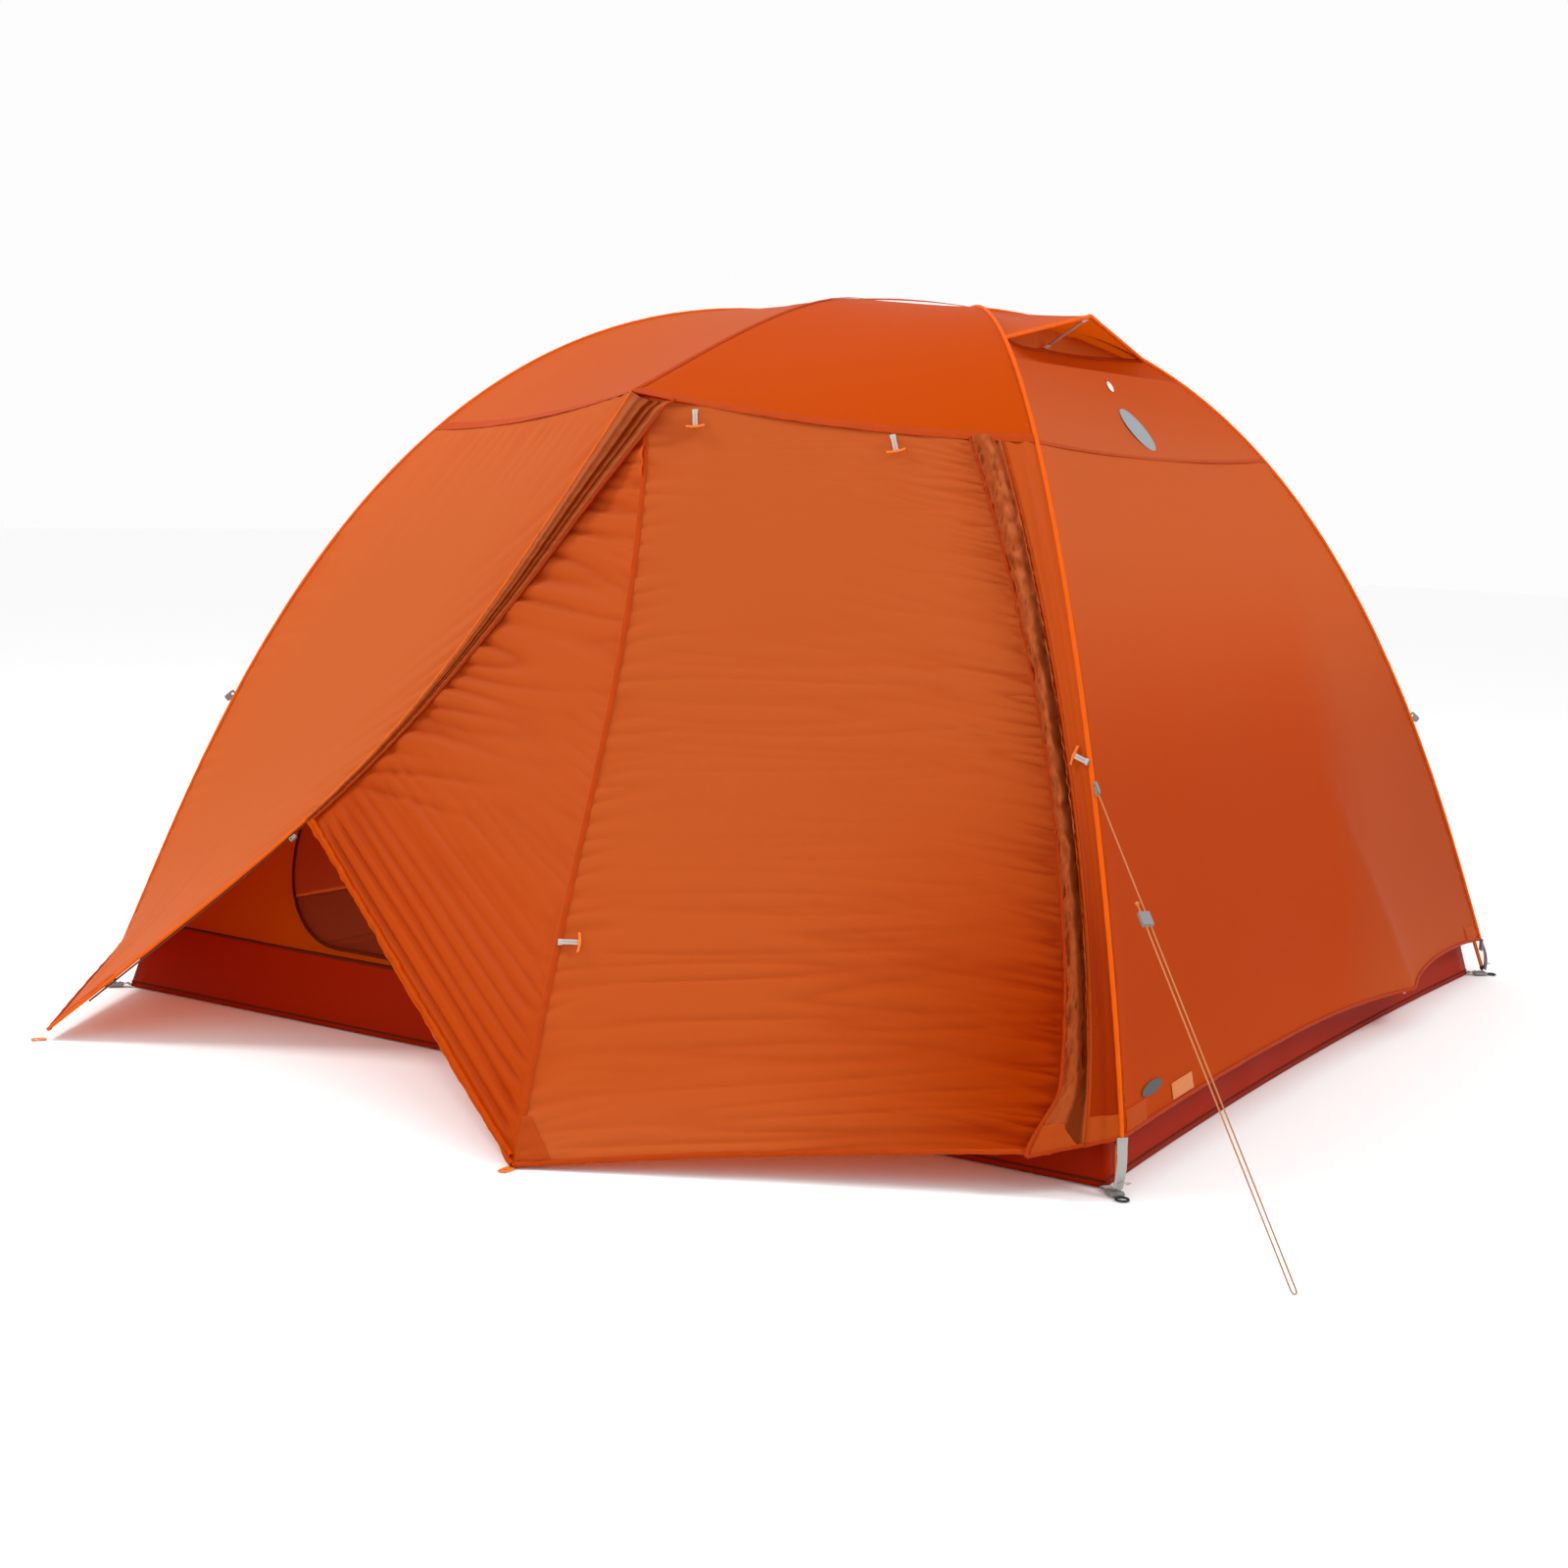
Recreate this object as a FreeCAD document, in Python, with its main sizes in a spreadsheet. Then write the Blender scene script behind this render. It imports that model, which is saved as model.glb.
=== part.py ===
"""Free-standing hubbed-pole tent with a rain fly, two vestibules and an inner tent.

Millimetres, +Z up. X runs along the ridge, with the vented end at +X; the front door faces -Y.
The origin lies on the ground under the middle of the floor. The back half mirrors the front.
"""
import FreeCAD, Part
import Sketcher
import math
import os

from FreeCAD import Placement, Rotation, Vector

# Driving dimensions: alias, value, what it measures ------------------------------------------
DIMENSIONS = (
    ("floor_length", 2400, "inner floor along X"),
    ("floor_width", 2286, "inner floor along Y"),
    ("bathtub_height", 150, "height of the floor's raised wall"),
    ("bathtub_lean", 34, "how far the raised wall leans in at its top"),
    ("stake_reach_x", 50, "floor corner to fly corner, along X"),
    ("stake_reach_y", 40, "floor corner to fly corner, along Y"),
    ("hub_spacing", 550, "between the two ridge hubs"),
    ("hub_height", 1596, "fly height over a hub"),
    ("ridge_rise", 22, "pole crossing above a hub, along Z"),
    ("brow_reach", 925, "pole crossing to the tip of the cross pole, along Y"),
    ("brow_fall", 261, "pole crossing down to the tip of the cross pole, along Z"),
    ("hem_height", 90, "fly hem above the ground at a corner"),
    ("vestibule_peg_x", 334, "vestibule peg from the middle, along X"),
    ("vestibule_peg_y", 1683, "vestibule peg from the middle, along Y"),
    ("side_peg_x", 960, "foot of the side panel from the middle, along X"),
    ("side_peg_y", 1585, "foot of the side panel from the middle, along Y"),
    ("fabric", 1.0, "thickness of every cloth panel"),
    ("seam_gap", 2.5, "clearance from a panel's edge to the seam line"),
    ("flap_width", 90, "zip flap at the top of the long zip"),
    ("pole_diameter", 9, "pole tube, outside"),
    ("pole_wall", 0.7, "pole tube, wall"),
    ("pole_inset", 16, "fly seam to the middle of a pole"),
    ("cord_core", 2.5, "elastic cord inside the poles"),
    ("socket_diameter", 15, "hub socket, outside"),
    ("socket_length", 34, "hub socket from the hub's middle"),
    ("socket_play", 0.1, "between a pole and what holds it, all round"),
    ("ferrule_wall", 0.9, "joint sleeve, wall"),
    ("ferrule_length", 60, "joint sleeve"),
    ("inner_drop", 46, "pole to the inner canopy"),
    ("web_width", 20, "webbing straps"),
    ("web_thickness", 1.6, "webbing straps"),
    ("ring_bore", 18, "peg ring, inside"),
    ("ring_wire", 4, "peg ring, width and height of its bar"),
    ("guyline_diameter", 2.6, "guyline"),
    ("vent_reach", 295, "hub to the tip of the vent hood"),
    ("vent_fall", 20, "hub down to the tip of the propped vent hood, along Z"),
    ("strut_width", 14, "prop of the vent hood"),
)

FRONT, BACK = -1, 1
RIGHT, LEFT = 1, -1
SEAM_SHARE = 0.311        # where the roof meets the walls, along a leg seam
VENT_SHARE = 0.16         # where the vent hood ends, along a leg seam
SILL_SHARE = 0.2          # lower edge of the vent's sill, along a leg seam

doc = FreeCAD.newDocument("tent")
sheet = doc.addObject("Spreadsheet::Sheet", "dims")
for row, (alias, value, note) in enumerate(DIMENSIONS, start=1):
    sheet.set(f"A{row}", str(value))
    sheet.set(f"B{row}", note)
    sheet.setAlias(f"A{row}", alias)
doc.recompute()

SIZE = {alias: float(sheet.get(alias)) for alias, _, _ in DIMENSIONS}
PARTS = {}


def bind(thing, **formulas):
    """Tie properties of an object to the sheet; each formula names its aliases plainly."""
    for name, formula in formulas.items():
        for alias in sorted(SIZE, key=len, reverse=True):
            formula = formula.replace(f"[{alias}]", f"dims.{alias}")
        thing.setExpression(name, formula)
    return thing


def keep(node, thing):
    """Name a finished sub-part; its label is its file's name."""
    thing.Label = node
    PARTS[node] = thing
    return thing


def group(node, solids):
    """Several separate solids that share one node."""
    return keep(node, make("Part::Compound", node, Links=solids))


def make(kind, name, **values):
    thing = doc.addObject(kind, name)
    for key, value in values.items():
        setattr(thing, key, value)
    return thing


def unit(vector):
    return Vector(vector).normalize()


def aim(origin, direction):
    """Placement that puts local +Z along a direction, starting at a point."""
    return Placement(origin, Rotation(Vector(0, 0, 1), direction))


# Seam lines of the fly -----------------------------------------------------------------------
hub_x = SIZE["hub_spacing"] / 2
corner_x = SIZE["floor_length"] / 2 + SIZE["stake_reach_x"]
corner_y = SIZE["floor_width"] / 2 + SIZE["stake_reach_y"]


def bezier(controls, share):
    """Point on a cubic curve through its first and last control points."""
    rest = 1 - share
    weights = (rest ** 3, 3 * rest ** 2 * share, 3 * rest * share ** 2, share ** 3)
    point = Vector()
    for weight, control in zip(weights, controls):
        point = point + control * weight
    return point


def leg_controls(inset, drop, foot_lift):
    """Controls of a leg line that runs inside the seam by an inset, from a hub to a corner."""
    shoulder = Vector(0.711 * corner_x - 0.7 * inset, 0.743 * corner_y - 0.7 * inset,
                      0.996 * SIZE["hub_height"] - drop)
    calf = Vector(0.943 * corner_x - 0.9 * inset, 0.873 * corner_y - 0.9 * inset,
                  0.177 * SIZE["hub_height"])
    return (Vector(hub_x, 0, SIZE["hub_height"] - drop), shoulder, calf,
            Vector(corner_x - 1.3 * inset, corner_y - 1.3 * inset, foot_lift))


def turned(point, end, side):
    """The same point for another corner: end is RIGHT or LEFT, side FRONT or BACK."""
    return Vector(point.x * end, point.y * side, point.z)


def curve(controls, side, end=RIGHT, first=0.0, last=1.0):
    """A seam as a function of a share from 0 at its top to 1 at its foot."""
    return lambda share: turned(bezier(controls, first + (last - first) * share), end, side)


def share_at_height(controls, height):
    """Share of a falling curve at which it passes a height."""
    low, high = 0.0, 1.0
    for _ in range(40):
        middle = (low + high) / 2
        if bezier(controls, middle).z > height:
            low = middle
        else:
            high = middle
    return low


SEAM = leg_controls(0, 0, 0)
HEM_SHARE = share_at_height(SEAM, SIZE["hem_height"])
shoulder_point = bezier(SEAM, SEAM_SHARE)
ridge_top = SIZE["hub_height"] + SIZE["ridge_rise"]
brow_tip = Vector(0, SIZE["brow_reach"], ridge_top - SIZE["brow_fall"])


def roof_controls(drop):
    """Controls of the roof's seam over the cross pole, level at the crossing."""
    top = ridge_top - drop
    fall = SIZE["brow_fall"]
    return (Vector(0, 0, top), Vector(0, 0.3 * SIZE["brow_reach"], top),
            Vector(0, 0.65 * SIZE["brow_reach"], top - 0.53 * fall),
            Vector(0, SIZE["brow_reach"] - 0.4 * drop, top - fall))


def on_brow(share):
    """Point on the straight brow line, from the tip (0) to the right-hand leg seam (1)."""
    return brow_tip + (shoulder_point - brow_tip) * share


peg = Vector(SIZE["vestibule_peg_x"], SIZE["vestibule_peg_y"], 4)
side_foot = Vector(-SIZE["side_peg_x"], SIZE["side_peg_y"], 20)
strip_foot = Vector(corner_x - 115, corner_y + 47, 0.8 * SIZE["hem_height"])
long_zip = (brow_tip, brow_tip + Vector(-357, 281, -749), side_foot + Vector(506, -420, 544), side_foot)
short_zip = (on_brow(0.84), on_brow(0.84) + Vector(235, 151, -355), strip_foot + Vector(-41, -231, 363),
             strip_foot)
centre_seam = (on_brow(0.03), on_brow(0.03) + Vector(170, 212, -477), peg + Vector(-111, -254, 454), peg)
ZIP_END = 0.64            # where the long zip stops, along its line
DOOR_TOP = 0.09           # where the centre seam leaves the long zip


def flap_edge(side, first=0.0):
    """Free edge of the flap over the long zip, which narrows downwards."""
    def edge(share):
        along = ZIP_END * (first + (1 - first) * share)
        width = SIZE["flap_width"] * (0.15 + 0.85 * (1 - along) ** 4)
        return turned(bezier(long_zip, along) + Vector(width, -0.35 * width, 0), RIGHT, side)
    return edge


def awning_edge(side):
    """Left edge of the awning: it meets the flap at the brow, then follows the centre seam."""
    def edge(share):
        start, joined = on_brow(0.125), bezier(centre_seam, 0.125)
        if share < 0.125:
            return turned(start + (joined - start) * (share / 0.125), RIGHT, side)
        return turned(bezier(centre_seam, share), RIGHT, side)
    return edge


# Cloth panels --------------------------------------------------------------------------------
def spanned(left, right, rows, columns, gap=None):
    """Grid of points on straight lines between two seams, short of each seam by the gap."""
    gap = SIZE["seam_gap"] if gap is None else gap
    grid = []
    for row in range(rows + 1):
        trim = gap / (left(1) - left(0)).Length
        share = trim + (1 - 2 * trim) * row / rows
        start, finish = left(share), right(share)
        across = (finish - start).normalize() * gap
        start, finish = start + across, finish - across
        grid.append([start + (finish - start) * (column / columns) for column in range(columns + 1)])
    return grid


def triangles(a, b, c, d):
    """Two flat faces over a four-sided patch."""
    corners = ((a, b, c), (a, c, d))
    return [Part.Face(Part.makePolygon([p, q, r, p])) for p, q, r in corners]


def cloth_solid(grid, depth, inside):
    """Closed thin solid whose outer skin passes through the grid and whose depth goes inside."""
    rows, columns = len(grid) - 1, len(grid[0]) - 1
    inner = []
    for row in range(rows + 1):
        line = []
        for column in range(columns + 1):
            down = grid[min(row + 1, rows)][column] - grid[max(row - 1, 0)][column]
            over = grid[row][min(column + 1, columns)] - grid[row][max(column - 1, 0)]
            normal = down.cross(over).normalize()
            if normal.dot(inside - grid[row][column]) < 0:
                normal = -normal
            line.append(grid[row][column] + normal * depth)
        inner.append(line)
    faces = []
    for skin in (grid, inner):
        for row in range(rows):
            for column in range(columns):
                faces += triangles(skin[row][column], skin[row][column + 1],
                                   skin[row + 1][column + 1], skin[row + 1][column])
    rim = [(0, c) for c in range(columns)] + [(r, columns) for r in range(rows)]
    rim += [(rows, c) for c in range(columns, 0, -1)] + [(r, 0) for r in range(rows, 0, -1)]
    for (r1, c1), (r2, c2) in zip(rim, rim[1:] + rim[:1]):
        faces += triangles(grid[r1][c1], grid[r2][c2], inner[r2][c2], inner[r1][c1])
    solid = Part.Solid(Part.Shell(faces))
    return solid if solid.Volume > 0 else solid.reversed()


def cloth(name, grid, inside=Vector(0, 0, 500)):
    """A panel of cloth, which no primitive or sketch describes: its size comes from the seams."""
    return make("Part::Feature", name, Shape=cloth_solid(grid, SIZE["fabric"], inside))


def fly_seam(end, side, first, last):
    return curve(SEAM, side, end, first, last)


for side, word in ((FRONT, "front"), (BACK, "back")):
    quarters = []
    for end in (RIGHT, LEFT):
        quarter = spanned(curve(roof_controls(0), side), fly_seam(end, side, 0, SEAM_SHARE), 6, 3)
        quarters.append(cloth(f"roof_{word}_{end + 1}", quarter))
    group(f"roof_{word}", quarters)

for end, word, top in ((RIGHT, "right", SILL_SHARE), (LEFT, "left", 0.012)):
    upper = spanned(fly_seam(end, FRONT, top, SEAM_SHARE), fly_seam(end, BACK, top, SEAM_SHARE), 4, 4)
    lower = spanned(fly_seam(end, FRONT, SEAM_SHARE, HEM_SHARE), fly_seam(end, BACK, SEAM_SHARE, HEM_SHARE),
                    6, 4)
    group(f"end_wall_{word}", [cloth(f"wall_upper_{word}", upper), cloth(f"wall_lower_{word}", lower)])


def flap_line(side):
    """Line between the short zip's flap and the plain strip beside the leg seam."""
    zip_line = curve(short_zip, side)
    leg_line = fly_seam(RIGHT, side, SEAM_SHARE, HEM_SHARE)
    return lambda share: zip_line(share) + (leg_line(share) - zip_line(share)) * 0.45


zip_flaps = []
for side, word in ((FRONT, "front"), (BACK, "back")):
    out = Vector(0, 0, 400)
    side_panel = spanned(fly_seam(LEFT, side, SEAM_SHARE, HEM_SHARE), curve(long_zip, side), 8, 4)
    keep(f"vestibule_side_{word}", cloth(f"side_panel_{word}", side_panel, out))
    strip = spanned(flap_line(side), fly_seam(RIGHT, side, SEAM_SHARE, HEM_SHARE), 8, 1)
    keep(f"vestibule_strip_{word}", cloth(f"strip_{word}", strip, out))
    awning = spanned(awning_edge(side), curve(short_zip, side), 8, 4)
    keep(f"awning_{word}", cloth(f"awning_panel_{word}", awning, out))
    seam_below = curve(centre_seam, side, first=DOOR_TOP)
    door = spanned(flap_edge(side, DOOR_TOP), seam_below, 8, 3)
    keep(f"door_{word}", cloth(f"door_panel_{word}", door, out))
    long_flap = spanned(curve(long_zip, side, last=ZIP_END), flap_edge(side), 8, 1)
    short_flap = spanned(curve(short_zip, side), flap_line(side), 8, 1)
    zip_flaps += [cloth(f"long_flap_{word}", long_flap, out), cloth(f"short_flap_{word}", short_flap, out)]
group("zip_flaps", zip_flaps)

# Vent at the right-hand end: propped hood, sill, mesh ------------------------------------------
hub_top = Vector(hub_x, 0, SIZE["hub_height"])
vent_tip = Vector(hub_x + SIZE["vent_reach"], 0, SIZE["hub_height"] - SIZE["vent_fall"])
vent_end = bezier(SEAM, VENT_SHARE)
prop_foot = Vector(vent_end.x - 82, 0, vent_end.z - 1)
HOOD_SHARE = 0.45         # where the moving hood starts, from the leg seam to the tip


def hood_side(side):
    """Corner of the moving hood on the front or back half of the vent's free edge."""
    corner = turned(vent_end, RIGHT, side)
    return corner + (vent_tip - corner) * HOOD_SHARE


gussets = []
for side in (FRONT, BACK):
    hood_line = hood_side(side) - hub_top
    gusset = spanned(fly_seam(RIGHT, side, 0.03, VENT_SHARE),
                     lambda share, line=hood_line: hub_top + line * (0.12 + 0.88 * share), 4, 1)
    gussets.append(cloth(f"gusset_{side + 1}", gusset))
group("vent_crown", gussets)


def hood_point(share, across):
    """Point on the hood: share runs from the hub to the free edge, across from -1 to 1."""
    edge = vent_tip + (hood_side(math.copysign(1, across)) - vent_tip) * abs(across)
    return hub_top + (edge - hub_top) * share


hood_grid = [[hood_point(share, across) for across in (-0.96, -0.5, 0, 0.5, 0.96)]
             for share in (0.12, 0.5, 1.0)]
keep("vent_hood", cloth("hood", hood_grid))

sill_top = [turned(vent_end, RIGHT, FRONT), prop_foot, turned(vent_end, RIGHT, BACK)]
sill_foot_line = [turned(bezier(SEAM, SILL_SHARE), RIGHT, side) for side in (FRONT, BACK)]
sill_bottom = [sill_foot_line[0], (sill_foot_line[0] + sill_foot_line[1]) * 0.5, sill_foot_line[1]]


def along_three(points, share):
    """Point on a two-run line through three points, kept short of the leg seams."""
    place = 2 * (0.012 + 0.976 * share)
    run = min(int(place), 1)
    return points[run] + (points[run + 1] - points[run]) * (place - run)


sill = [[along_three(sill_top, c / 6) * (1 - f) + along_three(sill_bottom, c / 6) * f for c in range(7)]
        for f in (0.0, 0.93)]
keep("vent_sill", cloth("sill", sill))

mesh_half = 150
mesh = [[Vector(prop_foot.x - 12 - 80 * up, y, prop_foot.z - 8 + 34 * up) for y in (-mesh_half, 0, mesh_half)]
        for up in (0.0, 1.0)]
keep("vent_mesh", cloth("mesh", mesh))

# The prop is a flat stay under the hood's tip, which stands on the sill.
prop_pin = vent_tip + Vector(-8, 0, -6)
prop_line = prop_foot + Vector(2, 0, 6) - prop_pin
prop = make("Part::Box", "prop", Height=prop_line.Length)
bind(prop, Length="2.4", Width="[strut_width]")
prop.Placement = aim(prop_pin, prop_line) * Placement(Vector(-1.2, -SIZE["strut_width"] / 2, 0), Rotation())
keep("vent_strut", prop)

patch = make("Part::Cylinder", "patch", Radius=13, Height=1.6)


def wall_spot(share, y, lift):
    """Placement on the right end wall, at a share of the leg seam: local +Z points out."""
    point = bezier(SEAM, share)
    along = bezier(SEAM, share + 0.01) - point
    outward = Vector(-along.z, 0, along.x).normalize()
    spot = Vector(point.x, y, point.z) + outward * lift
    return Placement(spot, Rotation(Vector(0, 1, 0), Vector(along.x, 0, along.z), outward, "ZXY"))


patch.Placement = wall_spot(0.225, 0, 0.4)
keep("vent_patch", patch)
badge = make("Part::Ellipsoid", "badge_blank", Radius1=1.2, Radius2=58, Radius3=40)
badge.Placement = wall_spot(0.285, 0, 1.6)
keep("badge_patch", badge)


# Poles -----------------------------------------------------------------------------------------
def routed(points, share):
    """Wire of straight runs joined by tangent arcs, each arc taking a share of its shorter run."""
    edges = []
    start = points[0]
    for before, corner, after in zip(points, points[1:], points[2:]):
        back, ahead = (before - corner).normalize(), (after - corner).normalize()
        reach = share * min((before - corner).Length, (after - corner).Length)
        half_turn = (math.pi - back.getAngle(ahead)) / 2
        radius = reach / math.tan(half_turn)
        depth = radius / math.cos(half_turn) - radius
        middle = corner + (back + ahead).normalize() * depth
        edges.append(Part.LineSegment(start, corner + back * reach).toShape())
        edges.append(Part.Arc(corner + back * reach, middle, corner + ahead * reach).toShape())
        start = corner + ahead * reach
    edges.append(Part.LineSegment(start, points[-1]).toShape())
    return Part.Wire(edges)


def route(name, points, share):
    return make("Part::Feature", name, Shape=routed(points, share))


def swept(name, spine, radius):
    """Round bar along a spine; the radius is a formula on the sheet."""
    first = spine.Shape.Edges[0]
    circle = bind(make("Part::Circle", name + "_round"), Radius=radius)
    circle.Placement = aim(first.valueAt(first.FirstParameter), first.tangentAt(first.FirstParameter))
    return make("Part::Sweep", name, Sections=[circle], Spine=(spine, []), Solid=True, Frenet=False)


def tube_on(name, spine):
    """Pole tube along a spine."""
    return make("Part::Cut", name, Base=swept(name + "_outside", spine, "[pole_diameter] / 2"),
                Tool=swept(name + "_inside", spine, "[pole_diameter] / 2 - [pole_wall]"))


def bar(name, start, direction, radius, height):
    """Straight round bar; the radius and height are formulas on the sheet."""
    thing = bind(make("Part::Cylinder", name), Radius=radius, Height=height)
    thing.Placement = aim(start, direction)
    return thing


def sleeve(name, start, direction, outside, inside, height):
    return make("Part::Cut", name, Base=bar(name + "_outside", start, direction, outside, height),
                Tool=bar(name + "_inside", start, direction, inside, height))


HUB_STOP = 8              # from the middle of a hub to the end of a pole in it
LEG_RUNS = 9
POLE_ARC = 0.3            # share of a run that each bend takes; the rest is straight
pole_line = leg_controls(SIZE["pole_inset"], SIZE["pole_inset"] + 2, 26)
hub_middle = pole_line[0]
leg_knots = [bezier(pole_line, knot / LEG_RUNS) for knot in range(LEG_RUNS + 1)]
leg_start = (leg_knots[1] - leg_knots[0]).normalize()
leg_knots[0] = leg_knots[0] + leg_start * HUB_STOP
foot_line = (leg_knots[-1] - leg_knots[-2]).normalize()

ferrules, tips, cores = [], [], []
for end, end_word in ((RIGHT, "right"), (LEFT, "left")):
    for side, side_word in ((FRONT, "front"), (BACK, "back")):
        word = f"{side_word}_{end_word}"
        knots = [turned(knot, end, side) for knot in leg_knots]
        spine = route(f"leg_line_{word}", knots, POLE_ARC)
        keep(f"leg_pole_{word}", tube_on(f"leg_tube_{word}", spine))
        cores.append(swept(f"core_{word}", spine, "[cord_core] / 2"))
        for joint in (2, 5):
            run = knots[joint + 1] - knots[joint]
            start = (knots[joint] + knots[joint + 1]) * 0.5 - unit(run) * (SIZE["ferrule_length"] / 2)
            ferrules.append(sleeve(f"ferrule_{word}_{joint}", start, run,
                                   "[pole_diameter] / 2 + [socket_play] + [ferrule_wall]",
                                   "[pole_diameter] / 2 + [socket_play]", "[ferrule_length]"))
        down = turned(foot_line, end, side)
        stem = bar(f"tip_stem_{word}", knots[-1], down, "[pole_diameter] / 2", "6")
        ball = bind(make("Part::Sphere", f"tip_ball_{word}"), Radius="[pole_diameter] / 2 + 1")
        ball.Placement = Placement(knots[-1] + down * 7, Rotation())
        tips.append(make("Part::Fuse", f"tip_{word}", Base=stem, Tool=ball))

ridge_start = Vector(-hub_middle.x + HUB_STOP, 0, hub_middle.z)
ridge_length = "[hub_spacing] - 2 * 8"
keep("ridge_pole", sleeve("ridge_tube", ridge_start, Vector(1, 0, 0), "[pole_diameter] / 2",
                          "[pole_diameter] / 2 - [pole_wall]", ridge_length))
cores.append(bar("core_ridge", ridge_start, Vector(1, 0, 0), "[cord_core] / 2", ridge_length))

half = [bezier(roof_controls(SIZE["pole_inset"]), knot / 5) for knot in (0, 1, 2, 3, 4, 4.9)]
cross_knots = [turned(knot, RIGHT, FRONT) for knot in reversed(half[1:])] + half
cross_spine = route("cross_line", cross_knots, POLE_ARC)
keep("cross_pole", tube_on("cross_tube", cross_spine))
for side in (FRONT, BACK):
    outermost = turned(half[-1], RIGHT, side)
    out = outermost - turned(half[-2], RIGHT, side)
    stem = bar(f"cap_{side + 1}", outermost, out, "[pole_diameter] / 2 + 1", "7")
    tips.append(stem)
group("pole_ferrules", ferrules)
group("pole_tips", tips)
group("shock_cords", cores)

hubs = []
for end, word in ((RIGHT, "right"), (LEFT, "left")):
    centre = turned(hub_middle, end, FRONT)
    headings = [Vector(-end, 0, 0), turned(leg_start, end, FRONT), turned(leg_start, end, BACK)]
    knob = make("Part::Sphere", f"hub_knob_{word}", Radius=11)
    knob.Placement = Placement(centre, Rotation())
    sockets = [bar(f"socket_{word}_{number}", centre, heading, "[socket_diameter] / 2", "[socket_length]")
               for number, heading in enumerate(headings)]
    bores = [bar(f"socket_bore_{word}_{number}", centre + heading * (HUB_STOP - 0.1), heading,
                 "[pole_diameter] / 2 + [socket_play]", "[socket_length]")
             for number, heading in enumerate(headings)]
    solid = make("Part::MultiFuse", f"hub_solid_{word}", Shapes=[knob] + sockets)
    hollow = make("Part::MultiFuse", f"hub_hollow_{word}", Shapes=bores)
    hubs.append(make("Part::Cut", f"hub_{word}", Base=solid, Tool=hollow))
group("pole_hubs", hubs)

cross_low = Vector(0, 0, cross_spine.Shape.BoundBox.ZMax)
ridge_mid = Vector(0, 0, hub_middle.z)
clip_low, clip_high = ridge_mid.z - 8, cross_low.z + 8
block = make("Part::Box", "clip_block", Length=22, Width=22, Height=clip_high - clip_low)
block.Placement = Placement(Vector(-11, -11, clip_low), Rotation())
clip_bores = [bar("clip_ridge_bore", ridge_mid - Vector(20, 0, 0), Vector(1, 0, 0),
                  "[pole_diameter] / 2 + [socket_play]", "40"),
              bar("clip_cross_bore", cross_low - Vector(0, 20, 0), Vector(0, 1, 0),
                  "[pole_diameter] / 2 + [socket_play]", "40")]
clip_hollow = make("Part::MultiFuse", "clip_hollow", Shapes=clip_bores)
keep("cross_pole_clip", make("Part::Cut", "clip", Base=block, Tool=clip_hollow))

# Inner tent ------------------------------------------------------------------------------------
def tray(name, clearance):
    """Floor with walls that lean in; the clearance makes the hollow of the same shape."""
    wedge = make("Part::Wedge", name)
    half_x, half_y = "[floor_length] / 2", "[floor_width] / 2"
    top = "[bathtub_lean]"
    bind(wedge, Xmin=f"-{half_x} + {clearance}", Xmax=f"{half_x} - {clearance}", Ymin=f"{clearance}",
         Zmin=f"-{half_y} + {clearance}", Zmax=f"{half_y} - {clearance}", Ymax="[bathtub_height]",
         X2min=f"-{half_x} + {top} + {clearance}", X2max=f"{half_x} - {top} - {clearance}",
         Z2min=f"-{half_y} + {top} + {clearance}", Z2max=f"{half_y} - {top} - {clearance}")
    wedge.Placement = Placement(Vector(), Rotation(Vector(1, 0, 0), 90))
    return wedge


keep("bathtub_floor", make("Part::Cut", "floor", Base=tray("tray_outside", "0"),
                           Tool=tray("tray_hollow", "1.2 * [fabric]")))

INNER_INSET = SIZE["pole_inset"] + SIZE["inner_drop"]
tray_corner = Vector(SIZE["floor_length"] / 2 - SIZE["bathtub_lean"],
                     SIZE["floor_width"] / 2 - SIZE["bathtub_lean"], SIZE["bathtub_height"])
inner_line = leg_controls(INNER_INSET, INNER_INSET, 0)[:3] + (tray_corner,)


def inner_seam(end, side, first, last):
    return curve(inner_line, side, end, first, last)


group("inner_end_walls", [cloth(f"inner_end_{end + 1}",
                                spanned(inner_seam(end, FRONT, 0.03, 1), inner_seam(end, BACK, 0.03, 1), 8, 4))
                          for end in (RIGHT, LEFT)])
group("inner_roof", [cloth(f"inner_roof_{side + 1}",
                           spanned(inner_seam(LEFT, side, 0, SEAM_SHARE),
                                   inner_seam(RIGHT, side, 0, SEAM_SHARE), 4, 3))
                     for side in (FRONT, BACK)])

DOOR_LOW, DOOR_HIGH = SIZE["bathtub_height"] + 12, 1080
DOOR_LEFT, DOOR_RIGHT = -815, 190
DOOR_CORNER = 200


def door_prism(name, side, clearance):
    """Rounded block through the inner wall, in the outline of the inner door."""
    prism = make("Part::Box", name + "_block", Length=DOOR_RIGHT - DOOR_LEFT - 2 * clearance, Width=900,
                 Height=DOOR_HIGH - DOOR_LOW - 2 * clearance)
    near = -1300 if side == FRONT else 400
    prism.Placement = Placement(Vector(DOOR_LEFT + clearance, near, DOOR_LOW + clearance), Rotation())
    doc.recompute()
    rounded = make("Part::Fillet", name, Base=prism)
    corner = DOOR_CORNER - clearance
    rounded.Edges = [(number, corner, corner) for number, edge in enumerate(prism.Shape.Edges, start=1)
                     if abs(edge.tangentAt(0).y) > 0.9]
    return rounded


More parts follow.
